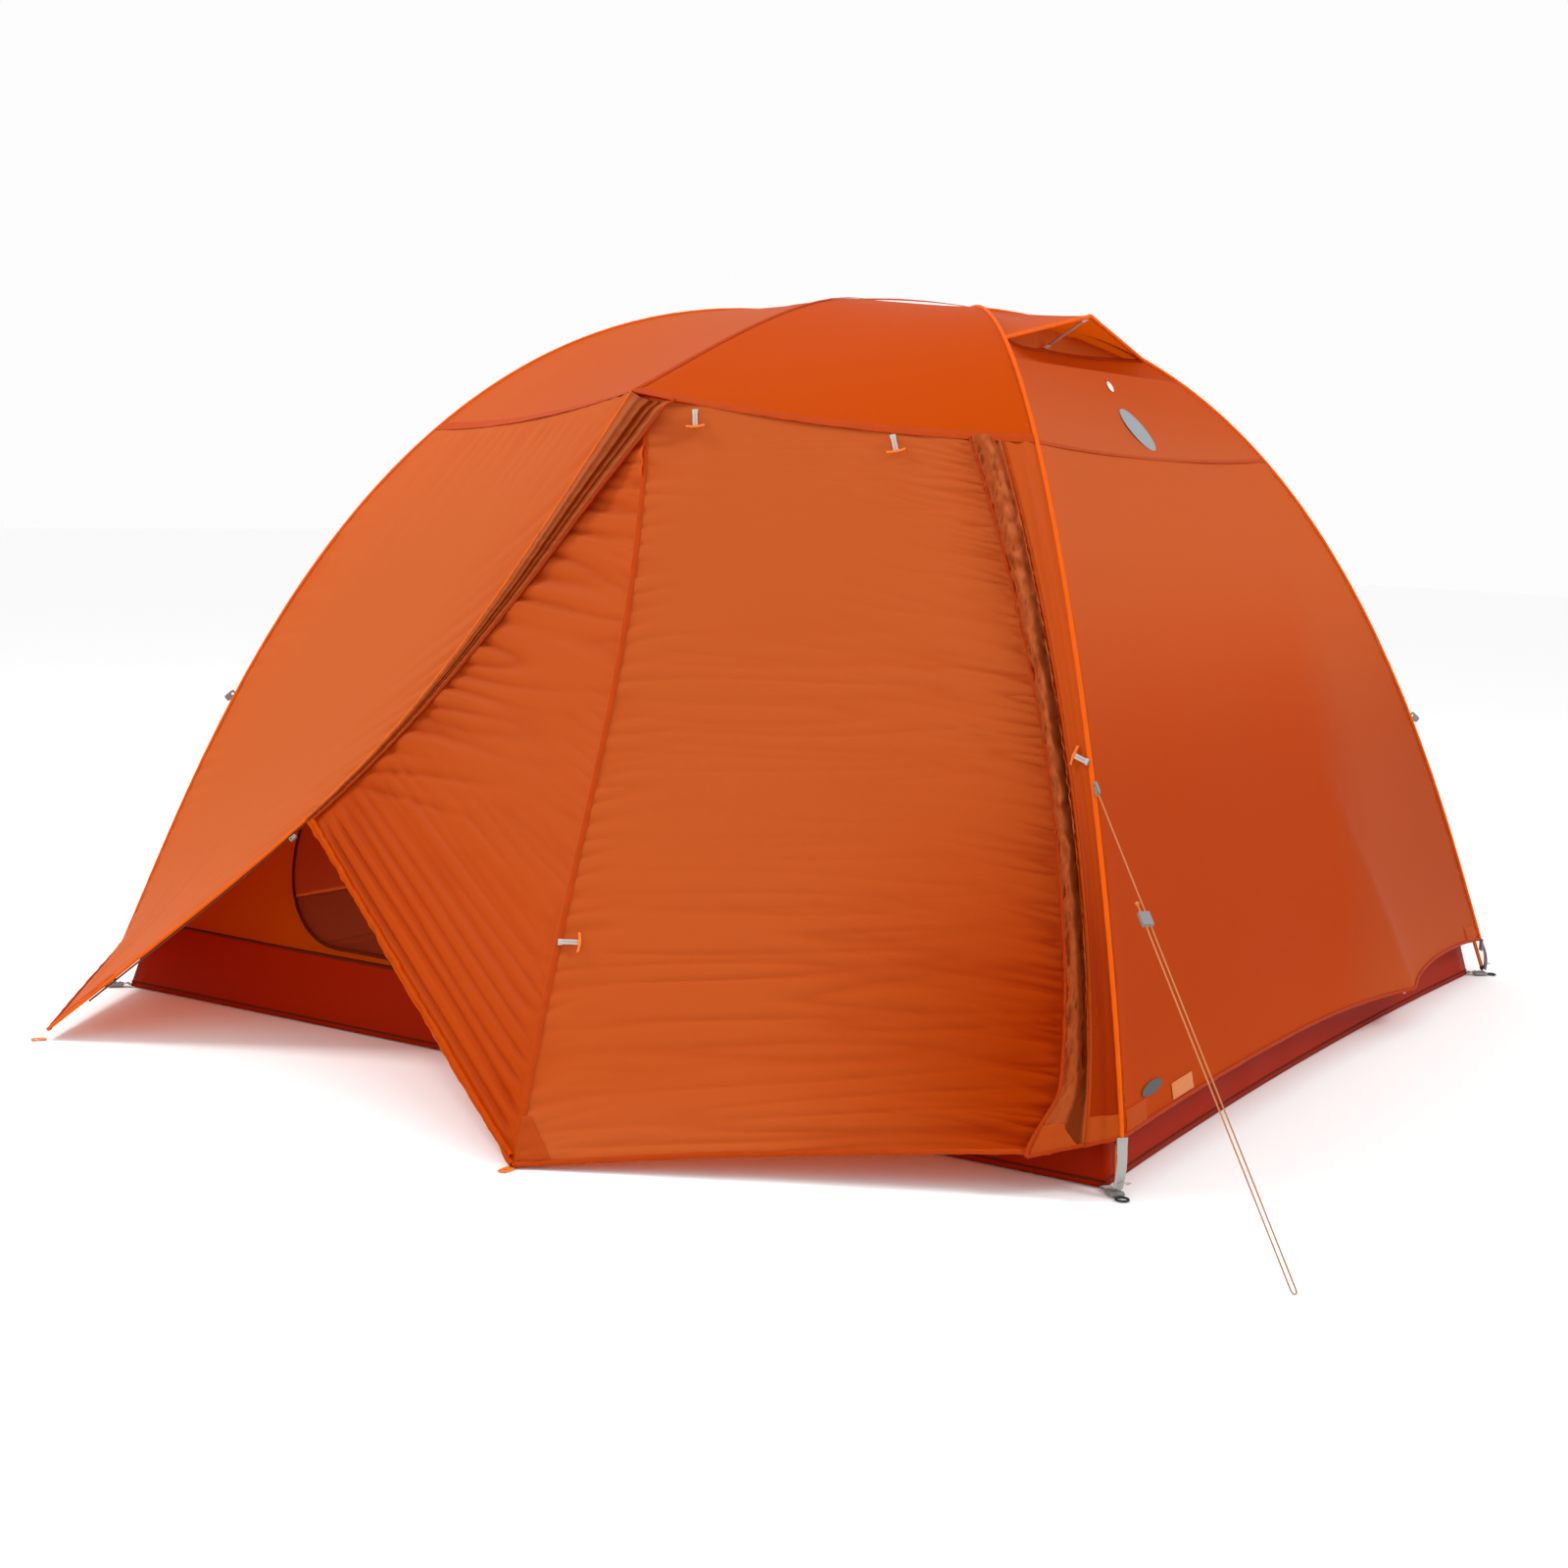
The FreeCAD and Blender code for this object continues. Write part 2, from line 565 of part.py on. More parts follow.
for side, word in ((FRONT, "front"), (BACK, "back")):
    wall = spanned(inner_seam(LEFT, side, SEAM_SHARE, 1), inner_seam(RIGHT, side, SEAM_SHARE, 1), 7, 4)
    keep(f"inner_wall_{word}", make("Part::Cut", f"inner_wall_cut_{word}", Base=cloth(f"wall_{word}", wall),
                                    Tool=door_prism(f"doorway_{word}", side, 0)))
    keep(f"inner_door_{word}", make("Part::Common", f"inner_door_cut_{word}",
                                    Base=cloth(f"wall_again_{word}", wall),
                                    Tool=door_prism(f"door_outline_{word}", side, 3)))

CLIP_PLAY = 8             # a bend of the pole passes inside its own line by up to this
clips = []
for end in (RIGHT, LEFT):
    for side in (FRONT, BACK):
        for number, share in enumerate((2 / LEG_RUNS, 4 / LEG_RUNS, 6 / LEG_RUNS)):
            pole = turned(bezier(pole_line, share), end, side)
            cover = turned(bezier(inner_line, share), end, side)
            reach = cover - pole
            stand_off = SIZE["pole_diameter"] / 2 + CLIP_PLAY
            hook = bind(make("Part::Cylinder", f"clip_{end}_{side}_{number}"), Radius="3")
            hook.Height = reach.Length - stand_off - 3
            hook.Placement = aim(pole + unit(reach) * stand_off, reach)
            clips.append(hook)
group("canopy_clips", clips)


# Webbing, peg rings and small fittings ------------------------------------------------------------
def strap(name, start, finish, flat, width="[web_width]", thickness="[web_thickness]"):
    """Flat strip from a start to a finish, with its thin way along the flat direction."""
    run = finish - start
    strip = bind(make("Part::Box", name, Height=run.Length), Length=thickness, Width=width)
    doc.recompute()
    square = Placement(start, Rotation(Vector(flat), Vector(), Vector(run), "ZXY"))
    strip.Placement = square * Placement(Vector(-strip.Length.Value / 2, -strip.Width.Value / 2, 0), Rotation())
    return strip


def plate(name, placement, length, width, thickness, holes=(), fillet=0):
    """Moulded plate: a padded rectangle about its middle, with round holes (x, y, radius)."""
    body = doc.addObject("PartDesign::Body", name)
    sketch = body.newObject("Sketcher::SketchObject", name + "_outline")
    flat = [plane for plane in body.Origin.OriginFeatures if plane.Role == "XY_Plane"][0]
    sketch.AttachmentSupport = [(flat, "")]
    sketch.MapMode = "FlatFace"
    corners = [Vector(-length / 2, -width / 2, 0), Vector(length / 2, -width / 2, 0),
               Vector(length / 2, width / 2, 0), Vector(-length / 2, width / 2, 0)]
    for number in range(4):
        sketch.addGeometry(Part.LineSegment(corners[number], corners[(number + 1) % 4]), False)
    for number in range(4):
        sketch.addConstraint(Sketcher.Constraint("Coincident", number, 2, (number + 1) % 4, 1))
    for number, kind in enumerate(("Horizontal", "Vertical", "Horizontal", "Vertical")):
        sketch.addConstraint(Sketcher.Constraint(kind, number))
    sketch.addConstraint(Sketcher.Constraint("Symmetric", 0, 1, 2, 1, -1, 1))
    sketch.addConstraint(Sketcher.Constraint("DistanceX", 0, 1, 0, 2, length))
    sketch.addConstraint(Sketcher.Constraint("DistanceY", 1, 1, 1, 2, width))
    for x, y, radius in holes:
        circle = sketch.addGeometry(Part.Circle(Vector(x, y, 0), Vector(0, 0, 1), radius), False)
        sketch.addConstraint(Sketcher.Constraint("Radius", circle, radius))
    pad = body.newObject("PartDesign::Pad", name + "_pad")
    pad.Profile = sketch
    pad.Length = thickness
    pad.Midplane = True
    doc.recompute()
    if fillet:
        upright = [f"Edge{number}" for number, edge in enumerate(pad.Shape.Edges, start=1)
                   if edge.Curve.TypeId == "Part::GeomLine" and abs(edge.tangentAt(0).z) > 0.9
                   and edge.Vertexes[0].Point.distanceToPoint(Vector()) > 0.9 * math.hypot(length, width) / 2]
        round_off = body.newObject("PartDesign::Fillet", name + "_round")
        round_off.Base = (pad, upright)
        round_off.Radius = fillet
    body.Placement = placement
    return body


straps, floor_straps, buckles, rings = [], [], [], []
hem_point = bezier(SEAM, HEM_SHARE)
ring_foot = Vector(corner_x, corner_y, 0.2)
buckle_size = Vector(34, 26, 9)
outward = unit(Vector(corner_x - pole_line[-1].x, corner_y - pole_line[-1].y, 0))
ring_outer = SIZE["ring_bore"] / 2 + SIZE["ring_wire"]
buckle_middle = ring_foot - outward * (ring_outer + buckle_size.x / 2 + 0.5)
buckle_middle.z = buckle_size.z / 2 + 0.5
tray_foot = Vector(SIZE["floor_length"] / 2, SIZE["floor_width"] / 2, 5)
for end in (RIGHT, LEFT):
    for side in (FRONT, BACK):
        word = f"{end + 1}_{side + 1}"
        away = turned(outward, end, side)
        hem = turned(hem_point, end, side) + Vector(0, 0, -4)
        low = turned(buckle_middle + outward * (buckle_size.x / 2 - 3), end, side)
        low.z = buckle_size.z + 3
        straps.append(strap(f"corner_strap_{word}", hem, low, away))
        at_floor = turned(tray_foot + outward, end, side)
        at_buckle = turned(buckle_middle - outward * (buckle_size.x / 2 + 9), end, side)
        at_buckle.z = at_floor.z
        floor_straps.append(strap(f"floor_strap_{word}", at_floor, at_buckle, Vector(0, 0, 1)))
        laid = Placement(turned(buckle_middle, end, side), Rotation(away, Vector(), Vector(0, 0, 1), "ZXY"))
        buckles.append(plate(f"buckle_{word}", laid, buckle_size.x, buckle_size.y, buckle_size.z,
                             holes=[(-9, 0, 3)], fillet=6))
        rings.append(sleeve(f"ring_{word}", turned(ring_foot, end, side), Vector(0, 0, 1),
                            "[ring_bore] / 2 + [ring_wire]", "[ring_bore] / 2", "[ring_wire]"))
group("corner_straps", straps)
group("floor_straps", floor_straps)
group("corner_buckles", buckles)
group("corner_rings", rings)

# Orange peg loops at the vestibule peg and at the side panel's foot
PEG_HOLE = 6


def peg_loop(name, point, away):
    """Flat loop on the ground, outside the hem, with a hole for a peg."""
    spot = Vector(point.x, point.y, 1.4) + away * 17
    return plate(name, Placement(spot, Rotation(away, Vector(), Vector(0, 0, 1), "ZXY")), 30, 18, 2.0,
                 holes=[(4, 0, PEG_HOLE)], fillet=5)


side_loops = []
for side, word in ((FRONT, "front"), (BACK, "back")):
    keep(f"stake_loop_{word}", peg_loop(f"vestibule_loop_{word}", turned(peg, RIGHT, side), Vector(0, side, 0)))
    side_loops.append(peg_loop(f"side_loop_{word}", turned(side_foot, RIGHT, side),
                               unit(Vector(-0.6, side, 0))))
group("side_stake_loops", side_loops)

# Zip coils behind the fixed edges, and a slider on each long zip
ZIP_KNOTS = 6
coils = []
for side, word in ((FRONT, "front"), (BACK, "back")):
    for kind, controls, shift in (("long", long_zip, Vector(4, 7, -3)), ("short", short_zip, Vector(2, 8, -3))):
        knots = [turned(bezier(controls, 0.04 + 0.92 * knot / ZIP_KNOTS) - Vector(-shift.x, shift.y, -shift.z),
                        RIGHT, side) for knot in range(ZIP_KNOTS + 1)]
        coils.append(swept(f"{kind}_coil_{word}", route(f"{kind}_zip_{word}", knots, 0.4), "2"))
    stop = turned(bezier(long_zip, ZIP_END + 0.03), RIGHT, side)
    along = turned(bezier(long_zip, ZIP_END + 0.2), RIGHT, side) - stop
    beside = Vector(14, side * 5, -6)
    slider_place = Placement(stop + beside, Rotation(unit(along), Vector(), Vector(0, side, 0.3), "XZY"))
    keep(f"zip_slider_{word}", plate(f"slider_{word}", slider_place, 16, 9, 5, holes=[(4, 0, 2)], fillet=2))
group("zip_coils", coils)

# Toggles: an elastic strip with a cross bar, for tying a rolled door back ----------------------------
def toggle(name, spot, hang, out):
    """Elastic strip laid down the cloth from a spot, and the bar across its lower end."""
    root = spot + out * 7
    tail = root + hang * 30
    strip = strap(name + "_strip", root, tail, out, width="6", thickness="1.2")
    across = unit(out.cross(hang))
    bar_start = tail + hang * 3.2 - across * 19
    cross_bar = bar(name + "_bar", bar_start, across, "3", "38")
    return [strip, cross_bar]


def cloth_frame(point, across_to, down_to, side):
    """Down direction and outward normal of the cloth at a point."""
    down = unit(down_to - point)
    out = unit(down.cross(across_to - point))
    if out.y * side < 0:
        out = -out
    return down, out


strip_toggles = []
for side, word in ((FRONT, "front"), (BACK, "back")):
    set_of = []
    seam, zip_edge = curve(centre_seam, side), curve(short_zip, side)
    for number, share in enumerate((0.16, 0.76)):
        top, low = [seam(s) + (zip_edge(s) - seam(s)) * share for s in (0.02, 0.12)]
        down, out = cloth_frame(top, zip_edge(0.05), low, side)
        set_of += toggle(f"brow_toggle_{word}_{number}", top, down, out)
    tie = seam(0.74)
    down, out = cloth_frame(tie, zip_edge(0.74), seam(0.84), side)
    set_of += toggle(f"seam_toggle_{word}", tie + unit(zip_edge(0.74) - tie) * 12,
                     unit(zip_edge(0.74) - tie), out)
    group(f"awning_toggles_{word}", set_of)
    flap, leg = flap_line(side), fly_seam(RIGHT, side, SEAM_SHARE, HEM_SHARE)
    spot = leg(0.46)
    down, out = cloth_frame(spot, flap(0.46), leg(0.6), side)
    strip_toggles += toggle(f"strip_toggle_{word}", spot + unit(flap(0.46) - spot) * 4,
                            unit(flap(0.46) - spot), out)
group("strip_toggles", strip_toggles)

# Guy-out locks on the legs, and the one guyline -------------------------------------------------------
GUY_SHARE = 0.6
guy_point = bezier(SEAM, GUY_SHARE)
GUY_PEG = Vector(1652, -1458, 6)      # the pegged end, chosen by hand
guy_out = turned(guy_point, RIGHT, FRONT)
guy_run = unit(GUY_PEG - guy_out)
LOCK_END = 38             # from the seam to the lock's outer end, where the cord starts
locks = []
for end in (RIGHT, LEFT):
    for side in (FRONT, BACK):
        heading = turned(turned(guy_run, RIGHT, FRONT), end, side)
        middle = turned(guy_point, end, side) + heading * (LOCK_END - 13.5)
        flat = unit(heading.cross(Vector(0, 0, 1)))
        locks.append(plate(f"guy_lock_{end + 1}_{side + 1}",
                           Placement(middle, Rotation(heading, Vector(), flat, "XZY")), 26, 15, 4,
                           holes=[(-6, 0, 3)], fillet=4))
group("guy_locks", locks)

TENSIONER_AT = 319        # from the seam to the tensioner
STRAND_GAP = 9            # between the two strands of the pegged loop
cord_start = guy_out + guy_run * LOCK_END
strand_side = unit(guy_run.cross(Vector(0, 0, 1)))
loop_turn = guy_out + guy_run * ((GUY_PEG - guy_out).Length - STRAND_GAP / 2)
tail_end = guy_out + guy_run * (TENSIONER_AT - 34) + strand_side * STRAND_GAP
loop_mid = loop_turn + guy_run * (STRAND_GAP / 2) + strand_side * (STRAND_GAP / 2)
cord_path = Part.Wire([
    Part.LineSegment(cord_start, loop_turn).toShape(),
    Part.Arc(loop_turn, loop_mid, loop_turn + strand_side * STRAND_GAP).toShape(),
    Part.LineSegment(loop_turn + strand_side * STRAND_GAP, tail_end).toShape()])
cord_spine = make("Part::Feature", "guyline_path", Shape=cord_path)
keep("guyline", swept("guyline_tube", cord_spine, "[guyline_diameter] / 2"))
print(f"guyline: {cord_path.Length:.0f} mm, arc radius {STRAND_GAP / 2} mm")

block_middle = guy_out + guy_run * TENSIONER_AT + strand_side * (STRAND_GAP / 2)
body = bind(make("Part::Box", "tensioner_block"), Width="[guyline_diameter] * 3", Length="20")
body.Height = 28
body.Placement = (Placement(block_middle, Rotation(strand_side, Vector(), guy_run, "ZXY"))
                  * Placement(Vector(-10, -1.5 * SIZE["guyline_diameter"], -14), Rotation()))
channels = [bar(f"tensioner_bore_{number}", guy_out + guy_run * (TENSIONER_AT - 20) + strand_side * offset,
                guy_run, "[guyline_diameter] / 2 + 0.35", "40") for number, offset in enumerate((0, STRAND_GAP))]
keep("guyline_tensioner", make("Part::Cut", "tensioner", Base=body,
                               Tool=make("Part::MultiFuse", "tensioner_bores", Shapes=channels)))

# Hem hooks between fly and floor on the end walls, and a blank sewn label -----------------------------
hooks = []
for end in (RIGHT, LEFT):
    low = curve(SEAM, FRONT, end)(HEM_SHARE)
    spot = Vector(low.x + end * 3, 0.2 * SIZE["floor_length"], low.z - 12)
    hooks.append(plate(f"hem_hook_{end + 1}", Placement(spot, Rotation(Vector(0, 1, 0), Vector(),
                       Vector(end, 0, 0), "XZY")), 12, 16, 3, holes=[(0, -3, 2.5)], fillet=2))
group("hem_hooks", hooks)
label = make("Part::Box", "label", Length=60, Width=18, Height=1)
label.Placement = (wall_spot(0.955 * HEM_SHARE, -0.83 * corner_y, 0.4)
                   * Placement(Vector(-30, -9, 0), Rotation()))
keep("care_label", label)


# Check and write -------------------------------------------------------------------------------
doc.recompute()
for thing in doc.Objects:
    if "Invalid" in thing.State or "Error" in thing.State:
        raise RuntimeError(f"{thing.Label} failed: {thing.State}")
for node, thing in PARTS.items():
    if thing.Shape.isNull() or not thing.Shape.isValid():
        raise RuntimeError(f"{node} has no valid shape")
os.makedirs("parts", exist_ok=True)
for node, thing in PARTS.items():
    thing.Shape.exportStep(f"parts/{node}.step")
    print(f"{node:24s} {len(thing.Shape.Solids):3d} solids {thing.Shape.Volume / 1000:10.1f} cm3")
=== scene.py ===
# %% [markdown]
# # A dome tent on hubbed poles
# The CAD gives this tent its frame, its sizes and its moving bodies. This lesson gives it cloth, seams,
# zips and webbing. Everything is in metres. X runs along the ridge, the front door faces -Y, Z points up.

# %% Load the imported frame
import math
import bmesh
import bpy
from mathutils import Matrix, Vector, noise


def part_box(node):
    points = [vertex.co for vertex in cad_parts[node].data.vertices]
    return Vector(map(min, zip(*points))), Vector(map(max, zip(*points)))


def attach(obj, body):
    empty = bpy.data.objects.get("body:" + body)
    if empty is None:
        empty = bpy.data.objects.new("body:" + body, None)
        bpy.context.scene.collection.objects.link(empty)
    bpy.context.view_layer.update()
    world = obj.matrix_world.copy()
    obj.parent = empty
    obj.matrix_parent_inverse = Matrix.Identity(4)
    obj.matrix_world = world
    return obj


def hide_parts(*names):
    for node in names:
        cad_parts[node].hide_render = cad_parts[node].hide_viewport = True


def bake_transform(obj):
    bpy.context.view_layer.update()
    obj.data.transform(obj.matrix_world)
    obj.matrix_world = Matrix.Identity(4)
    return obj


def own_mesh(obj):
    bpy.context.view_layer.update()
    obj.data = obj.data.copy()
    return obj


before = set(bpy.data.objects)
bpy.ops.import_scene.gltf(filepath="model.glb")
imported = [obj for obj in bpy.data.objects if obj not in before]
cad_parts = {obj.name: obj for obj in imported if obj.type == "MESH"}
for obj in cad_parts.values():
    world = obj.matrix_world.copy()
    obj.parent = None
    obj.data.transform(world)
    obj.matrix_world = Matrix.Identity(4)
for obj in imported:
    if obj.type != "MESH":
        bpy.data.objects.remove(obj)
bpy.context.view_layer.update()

# %% [markdown]
# ## Where we look from
# A camera needs a place, three axes and a lens. The three axes are worked out from two turns (yaw and pitch)
# and a small roll, then written into the camera's matrix, so no constraint or target is needed.

# %% Camera
YAW, PITCH, ROLL = 0.5587, 0.132, 0.0354
ahead = Vector((-math.sin(YAW) * math.cos(PITCH), math.cos(YAW) * math.cos(PITCH), -math.sin(PITCH)))
level = Vector((math.cos(YAW), math.sin(YAW), 0))
upward = level.cross(ahead)
camera_x = level * math.cos(ROLL) + upward * math.sin(ROLL)
camera_y = upward * math.cos(ROLL) - level * math.sin(ROLL)
camera = bpy.data.objects.new("camera", bpy.data.cameras.new("camera"))
bpy.context.scene.collection.objects.link(camera)
camera.matrix_world = Matrix.Translation((2.6873, -4.6771, 1.1766)) @ Matrix(
    (camera_x, camera_y, -ahead)).transposed().to_4x4()
camera.data.lens = 52.1
camera.data.shift_x, camera.data.shift_y = 0.0135, 0.0031
bpy.context.scene.camera = camera
print("camera looks along", [round(value, 3) for value in ahead])

# %% [markdown]
# ## Materials
# Every finish here is a small node tree: a base colour that varies, a roughness, and a bump. One helper
# starts each tree and hands back its nodes, so that a finish reads as a short list of what it adds.

# %% A helper that starts a finish
def start_finish(name, roughness, metal=0.0, sheen=0.0, specular=0.5):
    """New material and a function that adds a node with its inputs set and linked."""
    material = bpy.data.materials.new(name)
    material.use_nodes = True
    tree = material.node_tree
    shader = tree.nodes["Principled BSDF"]
    shader.inputs["Roughness"].default_value = roughness
    shader.inputs["Metallic"].default_value = metal
    shader.inputs["Sheen Weight"].default_value = sheen
    shader.inputs["Specular IOR Level"].default_value = specular

    def add(kind, inputs=(), **settings):
        node = tree.nodes.new("ShaderNode" + kind)
        for key, value in settings.items():
            setattr(node, key, value)
        for socket, value in dict(inputs).items():
            if isinstance(value, bpy.types.NodeSocket):
                tree.links.new(value, node.inputs[socket])
            else:
                node.inputs[socket].default_value = value
        return node
    return material, shader, add


def connect(material, source, target):
    material.node_tree.links.new(source, target)


def mixed(add, share, first, second):
    """Colour between two colours; each is a socket or four numbers."""
    node = add("Mix", data_type="RGBA")
    for socket, value in ((node.inputs[0], share), (node.inputs[6], first), (node.inputs[7], second)):
        if isinstance(value, bpy.types.NodeSocket):
            node.id_data.links.new(value, socket)
        else:
            socket.default_value = value
    return node.outputs[2]


def linear(red, green, blue):
    """Colour for a socket from the usual 0 to 255 numbers."""
    return tuple((value / 255) ** 2.2 for value in (red, green, blue)) + (1.0,)

# %% [markdown]
# ## Coated nylon
# Tent cloth is a thin woven sheet: light falls on it and also comes through it. A Principled shader makes the
# soft gloss of the coating, and a Translucent shader carries the light that comes through. The weave is a
# fine grid in the piece's own UV map, which holds metres, so its scale is true on every panel. Each point
# also carries three numbers. The first is how much light pinkish painted sheen is mixed into its colour. The
# second is how much painted shade darkens it, standing for the light that the floor or a second layer behind
# it would take away. The third is how crinkled it is, which also paints shade into the creases.

# %% Cloth finish
def cloth_finish(name, deep, painted_shade_colour, painted_sheen, through, roughness=0.5, shining=0.3, crinkle=1.0):
    material, shader, add = start_finish(name, roughness, specular=0.02)
    map_in = add("UVMap", uv_map="UVMap").outputs[0]
    sheen_share = add("Attribute", attribute_name="painted_sheen").outputs["Fac"]
    shade = add("Attribute", attribute_name="shade").outputs["Fac"]
    pucker_and_crease_shade = add("Attribute", attribute_name="pucker_and_crease_shade").outputs["Fac"]
    broad = add("TexNoise", {"Vector": map_in, "Scale": 3.0, "Detail": 3.0}).outputs[0]
    uneven = add("MapRange", {0: broad, 1: 0.35, 2: 0.65, 3: 0.94, 4: 1.06}).outputs[0]
    long_way = add("Mapping", {"Vector": map_in, "Scale": (9, 46, 1)}).outputs[0]
    folds = add("TexNoise", {"Vector": long_way, "Scale": 1.0, "Detail": 4.0, "Roughness": 0.55,
                             "Distortion": 0.6}).outputs[0]
    ridge = add("Math", {0: folds, 1: 0.5}, operation="SUBTRACT").outputs[0]
    ridge = add("Math", {0: ridge}, operation="ABSOLUTE").outputs[0]
    # Painted shade in the creases: where the cloth is crinkled, the crease lines darken the colour and lose
    # painted sheen.
    crease_shade = add("MapRange", {0: ridge, 1: 0.0, 2: 0.05, 3: 0.75, 4: 0.0}).outputs[0]
    crease_shade = add("Math", {0: crease_shade, 1: pucker_and_crease_shade}, operation="MULTIPLY").outputs[0]
    darker = add("Math", {0: shade, 1: crease_shade}, operation="ADD", use_clamp=True).outputs[0]
    sheen_outside_creases = add("Math", {0: crease_shade, 1: -0.9, 2: 1.0}, operation="MULTIPLY_ADD").outputs[0]
    sheen_share = add("Math", {0: sheen_share, 1: sheen_outside_creases}, operation="MULTIPLY").outputs[0]
    # Base colour: the cloth's own colour, pulled towards a darker colour by painted shade and towards a light
    # pinkish colour by painted sheen.
    base = mixed(add, sheen_share, mixed(add, darker, deep, painted_shade_colour), painted_sheen)
    shaded = add("VectorMath", {0: base, 1: (1, 1, 1)}, operation="MULTIPLY")
    connect(material, uneven, shaded.inputs[1])
    threads = add("Mapping", {"Vector": map_in, "Scale": (200, 200, 200)}).outputs[0]
    weave = add("TexBrick", {"Vector": threads, "Color1": (1, 1, 1, 1), "Color2": (0.92, 0.92, 0.92, 1),
                             "Mortar": (0, 0, 0, 1), "Scale": 1.0, "Mortar Size": 0.06,
                             "Brick Width": 1.0, "Row Height": 1.0}, offset=0.0).outputs[0]
    soft = add("TexNoise", {"Vector": map_in, "Scale": 22.0, "Detail": 5.0}).outputs[0]
    deepest = add("Math", {0: ridge, 1: pucker_and_crease_shade}, operation="MULTIPLY").outputs[0]
    deepest = add("Math", {0: deepest, 1: -0.05 * crinkle}, operation="MULTIPLY").outputs[0]
    height = add("Math", {0: soft, 1: 0.0012 * crinkle, 2: deepest}, operation="MULTIPLY_ADD").outputs[0]
    height = add("Math", {0: weave, 1: 0.00005, 2: height}, operation="MULTIPLY_ADD").outputs[0]
    bump = add("Bump", {"Height": height, "Strength": 0.9, "Distance": 1.0})
    connect(material, shaded.outputs[0], shader.inputs["Base Color"])
    connect(material, bump.outputs[0], shader.inputs["Normal"])
    lit = add("BsdfTranslucent", {"Color": through, "Normal": bump.outputs[0]})
    both = add("MixShader", {0: shining, 1: shader.outputs[0], 2: lit.outputs[0]})
    connect(material, both.outputs[0], material.node_tree.nodes["Material Output"].inputs[0])
    return material


# Each cloth has four colours: its own colour, a darker colour for painted shade, a light colour for painted
# sheen, and the colour of the light through it. The flap's colours are darker than the fly's: painted shade of
# the doubled cloth and of the shadow under it.
fly_cloth = cloth_finish("fly_nylon", linear(196, 76, 0), linear(150, 46, 0), linear(198, 102, 54),
                         linear(240, 100, 4), 0.46, 0.30)
flap_cloth = cloth_finish("flap_nylon", linear(172, 64, 8), linear(98, 38, 6), linear(204, 112, 66),
                          linear(210, 90, 10), 0.42, 0.2, 1.6)
inner_cloth = cloth_finish("inner_nylon", linear(206, 90, 10), linear(160, 56, 4), linear(214, 110, 46),
                           linear(240, 110, 14), 0.6, 0.4)
floor_cloth = cloth_finish("floor_nylon", linear(150, 34, 4), linear(110, 22, 2), linear(176, 60, 30),
                           linear(150, 40, 4), 0.4, 0.1)
print("cloth finishes:", [m.name for m in (fly_cloth, flap_cloth, inner_cloth, floor_cloth)])

# %% [markdown]
# ## Threads, webbing, metal and plastic
# Sewn lines are two rows of stitches on a folded tape. Webbing is a herringbone of thick yarns. Poles are
# brushed metal tubes, and the small fittings are moulded plastic with a fine grain.

# %% Tape, webbing and hard finishes
def tape_finish(name, colour, thread, rows=(0.3, 0.7)):
    """Folded tape whose UV map runs 0 to 1 across and in metres along, with rows of stitches."""
    material, shader, add = start_finish(name, 0.6, specular=0.06)
    across = add("SeparateXYZ", {0: add("UVMap", uv_map="UVMap").outputs[0]})
    stitch = add("Math", {0: across.outputs[1], 1: 320.0}, operation="MULTIPLY").outputs[0]
    stitch = add("Math", {0: stitch}, operation="FRACT").outputs[0]
    stitch = add("Math", {0: stitch, 1: 0.68}, operation="LESS_THAN").outputs[0]
    total = None
    for row in rows:
        near = add("Math", {0: across.outputs[0], 1: row, 2: 0.045}, operation="COMPARE").outputs[0]
        total = near if total is None else add("Math", {0: near, 1: total}, operation="MAXIMUM").outputs[0]
    sewn = add("Math", {0: stitch, 1: total}, operation="MULTIPLY").outputs[0]
    spread = add("TexNoise", {"Vector": add("TexCoord").outputs["Object"], "Scale": 30.0}).outputs[0]
    worn = mixed(add, spread, colour, tuple(min(1, 1.25 * value) for value in colour))
    connect(material, mixed(add, sewn, worn, thread), shader.inputs["Base Color"])
    height = add("Math", {0: sewn, 1: 0.0005, 2: 0.0}, operation="MULTIPLY_ADD").outputs[0]
    puckers = add("TexNoise", {"Vector": add("TexCoord").outputs["Object"], "Scale": 140.0}).outputs[0]
    height = add("Math", {0: puckers, 1: 0.0012, 2: height}, operation="MULTIPLY_ADD").outputs[0]
    connect(material, add("Bump", {"Height": height, "Distance": 1.0}).outputs[0], shader.inputs["Normal"])
    return material


def webbing_finish(name, colour, pitch=700.0, rough=0.75):
    material, shader, add = start_finish(name, rough, sheen=0.2)
    at = add("UVMap", uv_map="UVMap").outputs[0]
    slant = {"Vector": at, "Scale": pitch / 6.28, "Distortion": 0.0}
    yarn = add("TexWave", slant, bands_direction="DIAGONAL")
    cross = add("TexWave", {"Vector": at, "Scale": pitch / 3.14}, bands_direction="X")
    woven = add("Math", {0: yarn.outputs[0], 1: cross.outputs[0]}, operation="MULTIPLY").outputs[0]
    dark = tuple(0.62 * value for value in colour[:3]) + (1.0,)
    connect(material, mixed(add, woven, dark, colour), shader.inputs["Base Color"])
    bump = add("Bump", {"Height": woven, "Distance": 0.0006})
    connect(material, bump.outputs[0], shader.inputs["Normal"])
    return material


